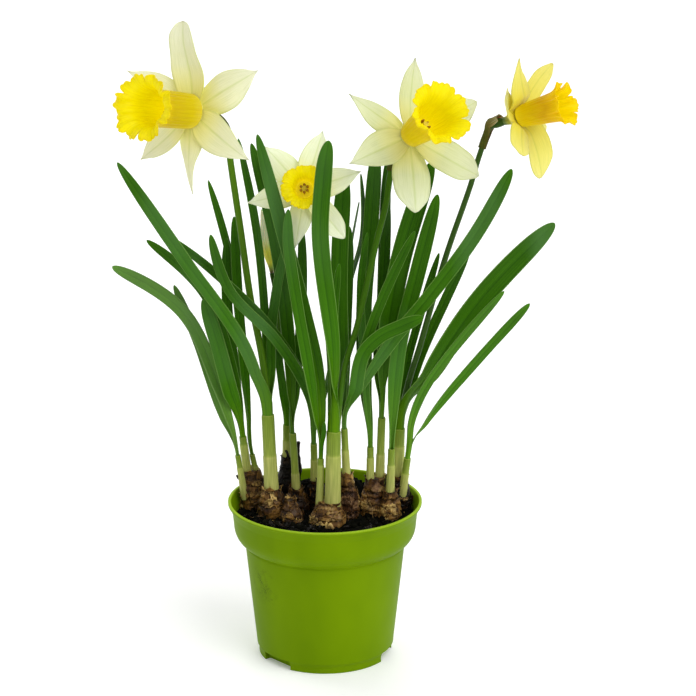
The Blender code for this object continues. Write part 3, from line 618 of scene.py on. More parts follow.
def makeFlakes():
    shape = newShape()
    for name, number, turn, share, width, height, lift, tint in tornSkins:
        layFlake(shape, bulbs[name][number], radians(turn), share, width, height, lift, tint)
    for name, lobes in bulbs.items():
        for lobe in lobes:
            for number in range(bulbLook["flakes"]):
                size = chance.uniform(*bulbLook["flakeSize"])
                layFlake(shape, lobe, chance.uniform(0, 2 * pi), chance.uniform(0.0, 0.95), size,
                         size * chance.uniform(0.5, 1.0), chance.uniform(0.3, 1.3),
                         bulbTints[name] + chance.uniform(-0.25, 0.12))
            for number in range(bulbLook["neckFlaps"]):
                turn = 2 * pi * (number + chance.random()) / bulbLook["neckFlaps"]
                tall = chance.uniform(*bulbLook["flapTall"]) * (0.4 if name == "bulb_back" else 1)
                layNeckFlap(shape, lobe, turn, tall, bulbTints[name] + chance.uniform(-0.2, 0.2))
    finishPiece(shape, "tornBulbSkins", [], [bulbPaint], bulbLook["skinThickness"], 1,
                crease=180)


# loose skins and chips between the bulbs: the areas they lie in (x, y, how far round), and how many
litter = {
    "areas": [(-44, -12, 11, 16), (-33, -26, 12, 18), (-22, -14, 9, 14), (-6, -30, 10, 8), (12, -18, 9, 6),
              (27, -20, 10, 6), (-36, 8, 10, 9)],
    "size": (2.5, 7.0), "grid": (5, 6), "height": (0.5, 5.0), "reach": 50, "tint": (-0.25, 0.15),
}


def makeLitter():
    shape = newShape()
    for x, y, reach, number in litter["areas"]:
        for each in range(number):
            away = reach * sqrt(chance.random())
            angle = chance.uniform(0, 2 * pi)
            spot = Vector((x + away * cos(angle), y + away * sin(angle), 0))
            if hypot(spot.x, spot.y) > litter["reach"]:
                continue
            size = chance.uniform(*litter["size"])
            spot.z = soilHeight(spot.x, spot.y) + chance.uniform(*litter["height"]) * (1 - away / reach)
            turn = Matrix.Rotation(chance.uniform(0, 2 * pi), 3, "Z")
            turn = turn @ Matrix.Rotation(chance.uniform(-1.1, 1.1), 3, "X")
            bend = chance.uniform(0.2, 0.9)
            seed = chance.random() * 50
            slim = chance.uniform(0.35, 0.9)

            def place(u, t):
                ragged = 1 + 0.4 * rough((u, t * 3, 0), 1.6, seed)
                flat = Vector((u * size * slim * 0.5 * ragged, (t - 0.5) * size * ragged, 0))
                flat.z = bend * size * 0.3 * (u * u - 0.4) + 0.6 * rough((u * 2, t * 3, 0), 1.2, seed + 3)
                return spot + turn @ flat

            layGrid(shape, *litter["grid"], place, chance.uniform(*litter["tint"]))
    finishPiece(shape, "looseSkins", [], [bulbPaint], bulbLook["skinThickness"], 1,
                crease=180)


# dried leaf stubs at the bulbs: points from the foot up, width and paleness
stubs = [
    ([(-24, 26, 110), (-24.2, 25, 115), (-23.4, 24.5, 119), (-24.6, 24.5, 123)], 3.4, -0.5),
    ([(-17.6, 22, 104), (-16.6, 22, 114), (-17.4, 22.5, 122), (-16.4, 22.5, 129)], 4.4, -0.5),
    ([(-50.5, 12.5, 106), (-53.5, 11, 109), (-55.0, 10.5, 111)], 2.6, 0.15),
    ([(38.0, 9, 104), (38.4, 9.5, 109), (37.8, 9.5, 112)], 2.4, 0.1),
]


def makeStubs():
    shape = newShape()
    for points, width, tint in stubs:
        path = smoothPath(points)
        seed = chance.random() * 30

        def radiusAt(u, t):
            return width / 2 * (1 - 0.55 * t) * (1 + 0.45 * rough((u * 3, t * 6, 0), 1.0, seed)) + 0.1

        layTube(shape, path, radiusAt, Vector((1, 0, 0)), *bulbLook["stubGrid"], tint)
    finishPiece(shape, "driedStubs", [], [bulbPaint], crease=180)


def makeRoots():
    shape = newShape()
    for number in range(bulbLook["roots"]):
        lobe = chance.choice([lobe for lobes in bulbs.values() for lobe in lobes])
        angle = chance.uniform(0, 2 * pi)
        start = lobeSpot(lobe, angle, chance.uniform(-0.25, 0.5), 0.2)
        turn = facing(angle)
        sideways = Vector((cos(angle), sin(angle), 0)) * chance.uniform(-5, 5)
        reach = min(chance.uniform(3, 8), bulbLook["rootReach"] - hypot(start.x, start.y))
        end = start + turn * max(reach, 1) + sideways
        end *= min((bulbLook["rootReach"] + 1) / hypot(end.x, end.y), 1)
        end.z = soilHeight(end.x, end.y) + 0.4
        middle = (start + end) / 2 + turn * 1.5 + up * chance.uniform(0, 2.5)
        path = smoothPath([start, middle, end])
        layTube(shape, path, lambda u, t: 0.24 - 0.13 * t, Vector((0.3, 0.2, 1)), *bulbLook["rootGrid"],
                chance.uniform(0.3, 0.9))
    finishPiece(shape, "fineRoots", [], [bulbPaint], crease=180)


for name in bulbs:
    makeBulb(name)
makeFlakes()
makeLitter()
makeStubs()
makeRoots()
print("bulbs done")


# shoots: the foot and top of the sheath, its radius, and its leaves

def strap(points, width, turnRoot=0, turnTip=0, taper=0.6, at=(0, 0)):
    # the turns are where its face looks at the root and further up, in degrees; at is its place in the sheath
    return dict(points=points, width=width, turns=(turnRoot, turnTip), taper=taper, at=at)


shoots = {
    "left_1": dict(foot=(-51, 11, 103), top=(-54, 8, 125), radius=2.0, leaves=[
        strap([(-66.5, 12, 172), (-87, 8, 218), (-128, 0, 248)], 8.2, 45, 5, 0.75),
        strap([(-68, 15, 163), (-78, 17, 195), (-92, 16, 232)], 6.0, -20, 0, 0.6, (-0.4, 0.4)),
    ]),
    "left_2": dict(foot=(-48.5, 16.5, 111), top=(-51, 14.5, 135), radius=2.6, leaves=[
        strap([(-59, 6, 171), (-65, 0, 199), (-73, -4, 229)], 9.6, 10, 0, 0.6, (0, -0.8)),
        strap([(-56, 11.5, 176), (-72, 6, 228), (-107, 2, 264)], 6.2, 20, 0, 0.7),
        strap([(-55, 22, 170), (-60, 26, 214), (-60, 27, 259)], 6.4, -30, 0, 0.6, (0, 0.8)),
    ]),
    "left_3": dict(foot=(-42.5, 19, 107), top=(-45.5, 18.5, 122), radius=2.0, leaves=[
        strap([(-49, 20, 167), (-53, 21, 221), (-55, 21, 274)], 6.0, 70, 0, 0.7),
        strap([(-51, 29, 181), (-57, 32, 238), (-71, 32, 294)], 5.0, 40, 0, 0.6, (0, 0.5)),
    ]),
    "left_main": dict(foot=(-33, 1, 104), top=(-35, 3, 153), radius=4.3, leaves=[
        strap([(-49, -5, 200), (-83, -11, 254), (-122, -16, 316)], 8.0, 0, 0, 0.55, (-0.9, -2.7)),
        strap([(-36, 13, 201), (-41, 19, 263), (-52, 23, 322)], 5.2, 20, 10, 0.5, (-0.6, 2.8)),
        strap([(-33, 10, 180), (-32, 12, 211), (-24, 12, 258)], 6.0, -20, 0, 0.6, (1.6, 2.3)),
    ]),
    "back_1": dict(foot=(-24, 27, 117), top=(-24, 25.5, 139), radius=2.7, leaves=[
        strap([(-26, 20, 163), (-30, 18, 196)], 5.0, 0, 0, 0.6, (0, -1.5)),
    ]),
    "back_2": dict(foot=(-18, 11.5, 101), top=(-20, 12, 138), radius=2.5, leaves=[
        strap([(-22, 15, 194), (-30, 18, 260), (-44, 18, 320)], 8.0, 10, 0, 0.6, (-0.4, 0)),
        strap([(-17, 17, 178), (-14, 21, 221), (-14, 23, 268)], 6.0, -20, 0, 0.6, (0.5, 0.5)),
    ]),
    "mid_1": dict(foot=(-6.5, 15.5, 105), top=(-7, 12.5, 131), radius=2.4, leaves=[
        strap([(-10, 7, 165), (-29, -2, 202), (-57, -7, 235), (-68, -8, 270)], 6.4, 20, 0, 0.75, (0, -0.6)),
        strap([(-12, 12, 169), (-34, 4, 210), (-63, 1, 241), (-93, -1, 267)], 5.6, 30, 0, 0.6),
        strap([(3, 20, 177), (15, 22, 231), (23, 23, 263), (22, 23, 300)], 5.0, 50, 55, 0.5, (0.4, 0.4)),
        strap([(4, 26, 182), (13, 29, 236), (21, 29, 281)], 4.6, 70, 72, 0.5, (0, 0.8)),
    ]),
    "mid_2": dict(foot=(-3.2, -9.8, 101), top=(-2.4, -10, 129), radius=2.2, leaves=[
        strap([(-3, -12, 177), (-13, -15, 228), (-26, -19, 281), (-39, -21, 334)], 8.4, 30, 0, 0.6,
              (0, 0.4)),
        strap([(-8, -18, 179), (-17, -23, 237), (-21, -25, 268), (-21, -26, 290)], 7.0, 75, 0, 0.7,
              (-0.4, -0.4)),
        strap([(-0.8, -13, 142), (-0.2, -14, 154)], 3.0, 0, 0, 0.5, (0.5, -0.3)),
    ]),
    "mid_3": dict(foot=(4.8, -12.4, 101), top=(5.5, -10.5, 147), radius=4.8, leaves=[
        strap([(5.5, -19, 198), (-2, -31, 273), (0, -35, 313), (3, -38, 334)], 10.2, 80, 0, 0.8,
              (-0.8, -3.1)),
        strap([(5.5, -12, 185), (6, -9, 222), (9, -8, 252)], 5.0, 30, 0, 0.6, (1.4, -3.0)),
    ]),
    "mid_4": dict(foot=(13.3, -0.3, 115), top=(12, 0, 145), radius=2.4, leaves=[
        strap([(18, -5, 166), (40, -9, 203), (62, -11, 231), (90, -13, 271), (111, -16, 312)], 8.8, 40, 0,
              0.75),
        strap([(18, -8, 168), (23, -17, 197), (33, -21, 210), (46, -22, 217), (59, -23, 223)], 8.6, 20, 0,
              0.75, (0, -0.7)),
        strap([(18, -6, 168), (24, -13, 200), (36, -15, 235), (54, -16, 274)], 6.0, 20, 0, 0.6, (0.5, 0)),
        strap([(10, 4, 180), (9, 9, 244), (12, 13, 302)], 10.4, 0, 0, 0.75, (-0.4, 0.7)),
        strap([(12, 9, 180), (14, 15, 236), (15, 16, 269)], 7.0, 0, 0, 0.6, (0.4, 1.0)),
    ]),
    "right_1": dict(foot=(28, 2.5, 109), top=(28, 3, 132), radius=2.4, leaves=[
        strap([(25, 9, 170), (24, 14, 217), (28, 17, 268), (31, 18, 316)], 9.4, 20, 0, 0.75, (0, 0.5)),
        strap([(24, 6, 187), (22, 8, 231), (26, 9, 267)], 5.0, 0, 0, 0.6, (0, -0.5)),
    ]),
    "right_2": dict(foot=(34, 6.5, 111), top=(35, 6, 150), radius=2.7, leaves=[
        strap([(33, 12, 192), (36, 19, 235), (38, 21, 288)], 6.6, 0, 0, 0.6, (-0.6, 0.4)),
        strap([(35, 18, 197), (36, 25, 246), (38, 27, 308)], 6.8, 0, 0, 0.6, (0, 1.0)),
        strap([(37, 8, 193), (47, 10, 253), (65, 12, 310)], 12.6, 30, 0, 0.6, (0.6, -0.4)),
    ]),
    "right_3": dict(foot=(40.3, -1.7, 105), top=(41, -3, 133), radius=2.5, leaves=[
        strap([(45, 0, 196), (56, 3, 242), (68, 3, 292)], 9.6, 20, 0, 0.6),
    ]),
    "right_4": dict(foot=(45, 14, 111), top=(46, 13, 141), radius=3.9, leaves=[
        strap([(62, 3, 175), (94, -1, 227), (138, -4, 276)], 13.4, 40, 0, 0.6, (1.8, -2.2)),
        strap([(57, 18, 181), (74, 19, 222), (88, 18, 253)], 6.2, 0, 0, 0.6, (0.8, 2.6)),
        strap([(50, 22, 177), (60, 25, 215), (70, 25, 250)], 5.0, 0, 0, 0.5, (-1.0, 2.6)),
    ]),
    "right_5": dict(foot=(48.5, 8, 104), top=(51, 5.5, 124), radius=2.5, leaves=[
        strap([(55, 0, 156), (69, -8, 186), (108, -12, 236)], 5.4, 20, 0, 0.6, (-0.3, -0.5)),
        strap([(63, 4, 149), (89, 0, 184), (124, -4, 226)], 5.8, 70, 5, 0.7, (0.5, 0.3)),
    ]),
}
# share of each sheath's height at which its outer skin ends
sheathRings = {
    "left_1": 0.62, "left_2": 0.80, "left_3": 0.5, "left_main": 0.47, "back_1": 0.55, "back_2": 0.30,
    "mid_1": 0.6, "mid_2": 0.85, "mid_3": 0.66, "mid_4": 0.55, "right_1": 0.7, "right_2": 0.4,
    "right_3": 0.62, "right_4": 0.62, "right_5": 0.5,
}
sheathLook = {
    "wall": 0.5, "depth": 7.0, "sink": 8.0, "lip": 1.0, "sides": 40, "rows": 60, "skinStep": 0.24,
    "base": (0.50, 0.50, 0.16), "pale": (0.36, 0.42, 0.085), "green": (0.17, 0.26, 0.018),
    "veins": [(0.35, (0.60, 0.68, 0.5)), (0.62, (1.14, 1.12, 1.05))],
}
leafLook = {
    "across": 10, "along": 72, "thickness": 0.62, "rootDepth": 4.0, "wrap": (10.0, 2.4),
    "root": (0.082, 0.200, 0.0), "middle": (0.038, 0.145, 0.001), "tip": (0.026, 0.102, 0.002),
    "bloom": (0.066, 0.172, 0.038), "aged": (0.175, 0.255, 0.100), "margin": (0.17, 0.33, 0.06),
    "veins": [(0.36, (0.58, 0.68, 0.5)), (0.64, (1.3, 1.2, 1.3))],
    # folds: painted shade and highlight across the leaf, a thin dark line down the middle beside paler bands
    "folds": [(0.0, 0.86), (0.40, (1.22, 1.16, 1.2)), (0.49, 0.98), (0.51, (0.58, 0.66, 0.6)), (0.57, 0.98),
              (0.8, (1.1, 1.06, 1.08)), (1.0, 0.84)],
}
# how light the leaves of a shoot are, where that isn't 1
leafTones = {"left_1": 1.7, "left_3": 1.25, "right_5": 1.35, "right_3": 1.1, "mid_1": 0.9, "back_2": 0.85}


def sheathLine(shoot):
    foot = Vector(shoot["foot"])
    top = Vector(shoot["top"])
    return foot, top, (top - foot).normalized()


def paintSheath():
    paint = startPaint("sheathSkin", 0.45, 0.15, Subsurface_Weight=0.15, Subsurface_Scale=0.002,
                       Subsurface_Radius=(1.0, 0.9, 0.4))
    colour = addRamp(paint, addTint(paint), [
        (0.0, sheathLook["base"]), (0.45, sheathLook["pale"]), (0.97, sheathLook["green"])])
    return endVeined(paint, colour, 0.9, addGrain(paint, 30, 1.2, 3, 2), sheathLook["veins"], 0.25)


def makeSheath(name, shoot):
    foot, top, upward = sheathLine(shoot)
    radius = shoot["radius"]
    sink = sheathLook["sink"]
    step = sheathLook["skinStep"]
    wall = sheathLook["wall"]
    tall = (top - foot).length
    ended = sheathRings[name]
    seed = radius * 3 + foot.x
    start = foot - upward * sink
    across = upward.cross(Vector((0, 1, 0))).normalized()
    other = upward.cross(across)
    outer = sink + tall
    total = outer + sheathLook["lip"] + sheathLook["depth"]

    def place(u, t):    # up the outside, over the lip and down the inside
        out = ring(across, other, pi * u)
        run = t * total
        ragged = 0.5 * rough(out * 1.5, 1, seed)
        if run <= outer:
            share = max((run - sink) / tall, 0)
            edge = ended + ragged * 1.2 / tall
            wide = radius * (1.0 - 0.03 * share) - step * smoothStep((share - edge) / 0.012)
            wide += 0.3 * (1 - share) ** 4 + 0.10 * rough(out * 2.2 + upward * share, 1, seed)
            return start + upward * (run + ragged * smoothStep((share - 0.9) / 0.1)) + out * wide
        over = run - outer
        if over <= sheathLook["lip"]:
            turn = over / sheathLook["lip"] * pi
            wide = radius * 0.97 - step - wall / 2 * (1 - cos(turn))
            return start + upward * (outer + ragged + 0.25 * sin(turn)) + out * wide
        drop = over - sheathLook["lip"]
        wide = (radius * 0.97 - step - wall) * (1 - 0.25 * drop / sheathLook["depth"])
        return start + upward * (outer + ragged - drop) + out * wide

    def shade(u, t):
        share = (t * total - sink) / tall
        if share > 1:
            return 0.6
        seam = 0.12 if abs(share - ended) < 0.02 else 0
        return 0.5 * share + (0.42 if share > ended else 0) - seam

    shape = newShape()
    layGrid(shape, sheathLook["sides"], sheathLook["rows"], place, shade, closed=True, caps=True)
    finishPiece(shape, "sheathSkin_" + name, ["sheath_" + name], [sheathPaint])


def paintLeaf():
    paint = startPaint("waxyLeaf", 0.42, 0.06)
    tint = addTint(paint)
    colour = addRamp(paint, addAxis(paint, "UV", "Y"), [
        (0.0, leafLook["root"]), (0.22, leafLook["middle"]), (0.8, leafLook["tip"]),
        (1.0, leafLook["middle"])])
    colour = addMix(paint, "MULTIPLY", 1.0, colour, tint)
    veins = addGrain(paint, 26, 0.8, 3, 3)
    colour = addShade(paint, colour, 0.8, veins, leafLook["veins"])
    # painted shade and highlight across the leaf: a thin dark line down the middle beside paler bands, darker
    # towards the edges; then a waxy bloom in patches, and a pale edge
    colour = addShade(paint, colour, 0.9, addAxis(paint, "UV", "X"), leafLook["folds"])
    wax = addRamp(paint, addNoise(paint, 22, 2, stretch=(1, 1, 0.3)), [(0.44, 0), (0.66, 0.75)])
    colour = addMix(paint, "MIX", wax, colour, leafLook["bloom"])
    edge = addRamp(paint, addAside(paint), [(0.445, 0), (0.485, 0.6)])
    colour = addMix(paint, "MIX", edge, colour, leafLook["margin"])
    # a leaf with a tint above 1.3 is an old one, greyer and paler
    old = addMath(paint, "MULTIPLY_ADD", tint, 0.9, -1.15, clamp=True)
    colour = addMix(paint, "MIX", old, colour, leafLook["aged"])
    return endPaint(paint, colour, veins, 0.3, 0.3)


def layLeaf(shape, name, shoot, leaf, number):
    top, upward = sheathLine(shoot)[1:]
    radius = shoot["radius"]
    root = top + upward + Vector((*leaf["at"], 0))
    path = smoothPath([root] + leaf["points"])
    half = leaf["width"] / 2
    nested = max(radius - sheathLook["skinStep"] - sheathLook["wall"] - 0.4 - 0.5 * number, 0.8)
    length = path.length
    wrapRun = leafLook["wrap"][0] + leafLook["wrap"][1] * leaf["width"]
    first, second = (radians(turn) for turn in leaf["turns"])
    look = facing(first)
    outward = Vector((*leaf["at"], 0))
    outward = outward.normalized() if outward.length > 0.3 else -look
    sideways = upward.cross(outward)
    if sideways.dot(upward.cross(look)) < 0:
        sideways = -sideways
    seed = length * 0.13 + number
    narrow = min(0.8 * (radius - 0.9) / half, 0.7)
    deep = leafLook["rootDepth"]

    def place(u, t):
        run = (1 - (1 - t) ** 1.45) * (length + deep) - deep
        share = max(run, 0) / length
        tangent = heading(path, share)
        turn = first + (second - first) * smoothStep(share / 0.6) + 0.10 * rough((share * 2, 0, 0), 1, seed)
        across = tangent.cross(facing(turn)).normalized()
        face = across.cross(tangent)
        grow = narrow + (1 - narrow) * min(share / 0.3, 1) ** 0.8
        taper = max(share - leaf["taper"], 0) / (1 - leaf["taper"])
        width = half * grow * max(sqrt(max(1 - taper ** 4.2, 0)), 0.05)
        width *= 1 + 0.025 * rough((share * 5, 0, 0), 1, seed + 3)
        channel = 0.30 * width * (1 - share) ** 1.2 * (u * u - 0.35)
        keel = -0.10 * width * max(0, 1 - abs(u) / 0.22) * (1 - 0.5 * share)
        ripple = 0.066 * width * rough((share * 7, u * 0.7, 0), 1, seed + 7) * abs(u)
        flat = path(share) + tangent * min(run, 0) + across * u * width + face * (channel + keel + ripple)
        free = smoothStep(run / wrapRun)
        if free >= 1:
            return flat
        angle = u * min(0.62 * leaf["width"] / nested, 1.9)
        grown = nested * (1 + 0.8 * free)
        centre = top + upward * run - outward * (grown - nested)
        wrapped = centre + ring(outward, sideways, angle) * grown
        return wrapped.lerp(flat, free)

    bright = leafTones.get(name, 1) + 0.22 * rough((seed, number, 0), 1.3)
    layGrid(shape, leafLook["across"], leafLook["along"], place, bright)


def makeLeaves(name, shoot):
    shape = newShape()
    for number, leaf in enumerate(shoot["leaves"]):
        layLeaf(shape, name, shoot, leaf, number)
    finishPiece(shape, "strapLeaves_" + name, ["leaves_" + name], [leafPaint], leafLook["thickness"],
                crease=70)


sheathPaint = paintSheath()
leafPaint = paintLeaf()
for name, shoot in shoots.items():
    makeSheath(name, shoot)
    makeLeaves(name, shoot)
print("sheaths and leaves done")


# stems: the shoot that holds each, where it stands there, its route, and its radius low down and high up

stems = {
    "left": dict(shoot="left_main", at=(0.2, 0.3), radii=(2.2, 2.0), route=[
        (-38, 6, 187), (-45, 9, 225), (-51, 13, 269), (-56.5, 17.5, 308), (-59, 21, 328)]),
    "right": dict(shoot="mid_3", at=(1.9, 0.6), radii=(1.9, 1.9), route=[
        (12, -9, 186), (20, -5, 213), (31, 4, 261), (37, 10, 284), (40.5, 15, 308)]),
    "centre": dict(shoot="mid_3", at=(-2.0, 1.1), radii=(1.6, 1.6), route=[
        (3, -4, 190), (-1, 0, 234), (-4, 9, 262), (-6.5, 14.5, 282)]),
    "yellow": dict(shoot="right_4", at=(0.3, 0.2), radii=(2.0, 1.7), route=[
        (51, 12, 169), (58, 10, 194), (73, 10, 250), (88, 13, 295), (93, 16, 312)]),
    "bud": dict(shoot="back_1", at=(0, 0.6), radii=(1.3, 1.4), route=[
        (-27, 29, 175), (-30, 30, 220), (-32.6, 29.6, 236)]),
}


# flowers: middle, the azimuth and elevation they look to, the cup's length, base and rim radius, how its wall
# opens, how its lobes are turned and notched, and the petals

def petal(length, angle, lean, width, outline="pointed", twist=0, curl=1.0, sway=0, advance=0, bow=0):
    return dict(length=length, angle=angle, lean=lean, width=width, outline=outline, twist=twist, curl=curl,
                sway=sway, advance=advance, bow=bow)


# width of a petal at even steps from its root to its tip, as shares of the whole width
petalOutlines = {
    "pointed": (0.42, 0.80, 1.0, 0.94, 0.60, 0.05), "round": (0.42, 0.78, 0.98, 1.0, 0.84, 0.34),
    "slim": (0.46, 0.86, 1.0, 0.86, 0.48, 0.05), "low": (0.56, 0.90, 1.0, 0.88, 0.80, 0.56),
    "drawn": (0.80, 1.0, 0.86, 0.50, 0.24, 0.05), "narrow": (0.80, 1.0, 0.98, 0.70, 0.30, 0.10),
    "oval": (0.62, 0.88, 1.0, 0.98, 0.84, 0.40),
}
flowers = {
    "left": dict(
        middle=(-80, 2, 343), looks=(-38, 13), cup=(42, 10.5, 21.8), cone=2, flare=(0.56, 88), turned=1.26,
        notch=0.10, ruffle=1.1, petals=[
            petal(54.2, 96, -4, 24, "low", sway=14.6, bow=5), petal(49, 35, -10, 23, curl=-1, sway=2.5),
            petal(48.4, -28.7, -8, 23, "slim", curl=2), petal(49, -87, 8, 20, "drawn", 14, 1.5, 11),
            petal(44.5, -131, 8, 17.5), petal(48.3, 156, 21, 17, curl=0.5)]),
    "right": dict(
        middle=(52, -2, 329.5), looks=(31, 31), cup=(37, 7.4, 20.2), cone=14, flare=(0.50, 72), turned=1.10,
        notch=0.16, ruffle=1.0, petals=[
            petal(48, 74.5, 14, 18), petal(46, 139, 6, 17.5, "slim", 14, 0.5),
            petal(46, -165.6, -2, 22, "slim", curl=1.5), petal(47, -101.5, -2, 24.5, "round"),
            petal(48, -41, 6, 22.5, "round", curl=1.5), petal(50, 16, 13, 20, "round", curl=0.5)]),
    "centre": dict(
        middle=(-11.4, -8, 297.4), looks=(-2, 20), cup=(19, 5.5, 14.0), cone=8, flare=(0.42, 80), turned=0.4,
        notch=0.13, ruffle=1.3, petals=[
            petal(37.5, 74.5, -2, 17), petal(36, 133, 4, 17), petal(35.5, -168, -6, 17, "slim", 20, 1.5),
            petal(35, -99.5, -2, 14, "slim", curl=0.5), petal(37, -50, -2, 14.5, "round"),
            petal(35.5, 19, 8, 17, "slim")]),
    "yellow": dict(
        middle=(117, 8, 338.5), looks=(60, 20), cup=(33.3, 6.5, 13.4), cone=11, flare=(0.62, 50), turned=2.2,
        notch=0.15, ruffle=1.6, petals=[
            petal(33, 148, 22, 17, "oval", curl=0), petal(34.2, 92, 12, 21, "narrow", -8, 0, advance=8.5),
            petal(39, 44, 27, 13, "oval", -18, 0.5, advance=3), petal(34, -20, 2, 17, "oval", curl=0),
            petal(43.8, -68, -12.4, 21.5, "oval", 25, advance=4),
            petal(29.9, -134, 6, 16.5, "oval", 20, 0.5, advance=5)]),
}
flowerLook = {
    "tube": 10.0, "ovary": 9.0, "ovaryRadius": 2.9, "neck": 24.0, "petalThickness": 0.42,
    "cupThickness": 0.45, "petalGrid": (18, 36), "tubeGrid": (36, 14), "cupSides": 240, "cupRows": 44,
    "cupSteps": 80, "glow": 0.34, "spatheReach": (17.0, 6.0), "spatheGrid": (22, 30), "stamens": 6,
    "neckGreen": (0.10, 0.17, 0.012),
    "veins": [(0.34, (0.84, 0.87, 0.72)), (0.60, 1)],
    "midrib": [(0.01, (0.80, 0.86, 0.62)), (0.06, 1), (0.44, 1), (0.5, (0.72, 0.76, 0.5))],
    "cupRibs": [(0.34, (0.88, 0.82, 0.6)), (0.62, (1.03, 1.03, 1.0))],
    "pollen": [(0.1, (0.66, 0.60, 0.06)), (0.35, (0.70, 0.58, 0.03)), (0.9, (0.42, 0.22, 0.01))],
    "spathe": [(0.32, (0.030, 0.052, 0.004)), (0.55, (0.085, 0.088, 0.012)), (0.75, (0.19, 0.16, 0.045)),
               (0.95, (0.50, 0.48, 0.26))],
}
# colours of each flower's petals: near the root, along the blade and at the tip; the right flower's blade and
# tip are a darker copy, painted shade
petalColours = {
    "left": ((0.88, 0.82, 0.22), (0.83, 0.84, 0.49), (0.86, 0.875, 0.60)),
    "right": ((0.84, 0.80, 0.26), (0.61, 0.66, 0.36), (0.66, 0.71, 0.47)),
    "centre": ((0.84, 0.84, 0.30), (0.84, 0.91, 0.57), (0.88, 0.95, 0.68)),
    "yellow": ((0.74, 0.60, 0.003), (0.72, 0.64, 0.080), (0.78, 0.71, 0.15)),
}
# colours along the cup, from its base to its rim, and the light that comes through the wall inside it
cupColours = {
    "cream": [
        (0.0, (0.66, 0.54, 0.04)), (0.16, (0.58, 0.46, 0.0)), (0.5, (0.54, 0.385, 0.0)),
        (0.8, (0.74, 0.53, 0.0)), (1.0, (0.78, 0.54, 0.0))],
    "yellow": [
        (0.0, (0.82, 0.70, 0.02)), (0.18, (0.72, 0.52, 0.0)), (0.6, (0.52, 0.29, 0.0)),
        (0.85, (0.76, 0.42, 0.0)), (1.0, (0.80, 0.42, 0.0))],
    "inside": [
        (0.0, (0.80, 0.64, 0.0)), (0.5, (0.76, 0.60, 0.0)), (0.93, (0.80, 0.62, 0.0)),
        (1.0, (0.70, 0.48, 0.0))],
    "yellowInside": [
        (0.0, (0.80, 0.56, 0.0)), (0.5, (0.80, 0.50, 0.0)), (0.93, (0.84, 0.54, 0.0)),
        (1.0, (0.70, 0.36, 0.0))],
}
throatLight = [
    (0.05, (0.90, 0.72, 0.02)), (0.30, (0.60, 0.47, 0.0)), (0.55, (0.22, 0.16, 0.0)),
    (0.8, (0.12, 0.08, 0.0))]
stemLook = {
    "sides": 16, "rows": 90, "sunk": 5.7, "low": (0.20, 0.30, 0.04), "ovary": (0.035, 0.085, 0.006),
    "ribs": [(0.36, (0.72, 0.78, 0.7)), (0.64, (1.2, 1.14, 1.1))],
}
stemGreens = {
    "left": (0.068, 0.165, 0.003), "right": (0.042, 0.125, 0.001), "centre": (0.05, 0.14, 0.003),
    "yellow": (0.036, 0.090, 0.010), "bud": (0.05, 0.12, 0.006),
}


def flowerAxes(flower):
    azimuth, elevation = (radians(angle) for angle in flower["looks"])
    ahead = Vector((sin(azimuth) * cos(elevation), -cos(azimuth) * cos(elevation), sin(elevation)))
    across = up.cross(ahead).normalized()
    return Vector(flower["middle"]), ahead, across, ahead.cross(across)


def stemPoints(name):
    values = stems[name]
    top, upward = sheathLine(shoots[values["shoot"]])[1:]
    foot = top - upward * stemLook["sunk"] + Vector((*values["at"], 0))
    points = [foot, foot + upward * 6] + [Vector(point) for point in values["route"]]
    if name in flowers:
        middle, ahead = flowerAxes(flowers[name])[:2]
        behind = flowerLook["tube"] + flowerLook["ovary"]
        points += [middle - ahead * (flowerLook["neck"] - 3), middle - ahead * behind]
    return points


def paintStem(name):
    green = stemGreens[name]
    paint = startPaint("scape_" + name, 0.45, 0.12)
    colour = addRamp(paint, addAxis(paint, "UV", "Y"), [
        (0.0, stemLook["low"]), (0.12, green), (0.88, green), (0.95, stemLook["ovary"])])
    return endVeined(paint, colour, 0.8, addGrain(paint, 18, 1.0, 2.2, 3), stemLook["ribs"], 0.25)


def makeStem(name):
    low, high = stems[name]["radii"]
    path = smoothPath(stemPoints(name))
    side = flowerAxes(flowers[name])[2] if name in flowers else Vector((1, 0, 0))
    tall = path.length
    ovary = flowerLook["ovary"] if name in flowers else 0
    ahead = flowerAxes(flowers[name])[1] if ovary else up
    total = tall + ovary

    def route(share):
        run = share * total
        if run <= tall:
            return path(run / tall)
        return path(1) + ahead * (run - tall - 0.3)

    def radiusAt(u, t):
        run = t * total
        wide = low + (high - low) * min(run / tall, 1)
        wide *= 1 + 0.035 * cos(2 * pi * u) + 0.02 * rough((u * 2, t * 9, 0), 1, low)
        swell = max((run - tall + 3) / (ovary + 3), 0) if ovary else 0
        if swell:
            bulge = sin(pi * min(swell * 0.85 + 0.08, 1)) ** 0.8
            wide += (flowerLook["ovaryRadius"] - high) * bulge * (1 + 0.05 * cos(3 * pi * u))
        return wide

    shape = newShape()
    layTube(shape, route, radiusAt, side, stemLook["sides"], stemLook["rows"])
    finishPiece(shape, "scape_" + name, ["stem_" + name], [paintStem(name)])


def paintPetal(name):
    base, middle, tip = petalColours[name]
    paint = startPaint("petal_" + name, 0.55, Subsurface_Weight=0.25, Subsurface_Scale=0.003,
                       Subsurface_Radius=(1.0, 0.95, 0.6), Sheen_Weight=0.15)
    # the tint runs from 0 at the foot of the tube over 0.25 at the roots of the petals to 1 at their tips
    colour = addRamp(paint, addTint(paint), [
        (0.02, flowerLook["neckGreen"]), (0.20, base), (0.33, base), (0.58, middle), (0.88, tip)])
    veins = addGrain(paint, 22, 1.1, 3, 3)
    colour = addShade(paint, colour, 0.75, veins, flowerLook["veins"])
    colour = addShade(paint, colour, 0.7, addAside(paint), flowerLook["midrib"])
    return endPaint(paint, colour, veins, 0.35, 0.35)


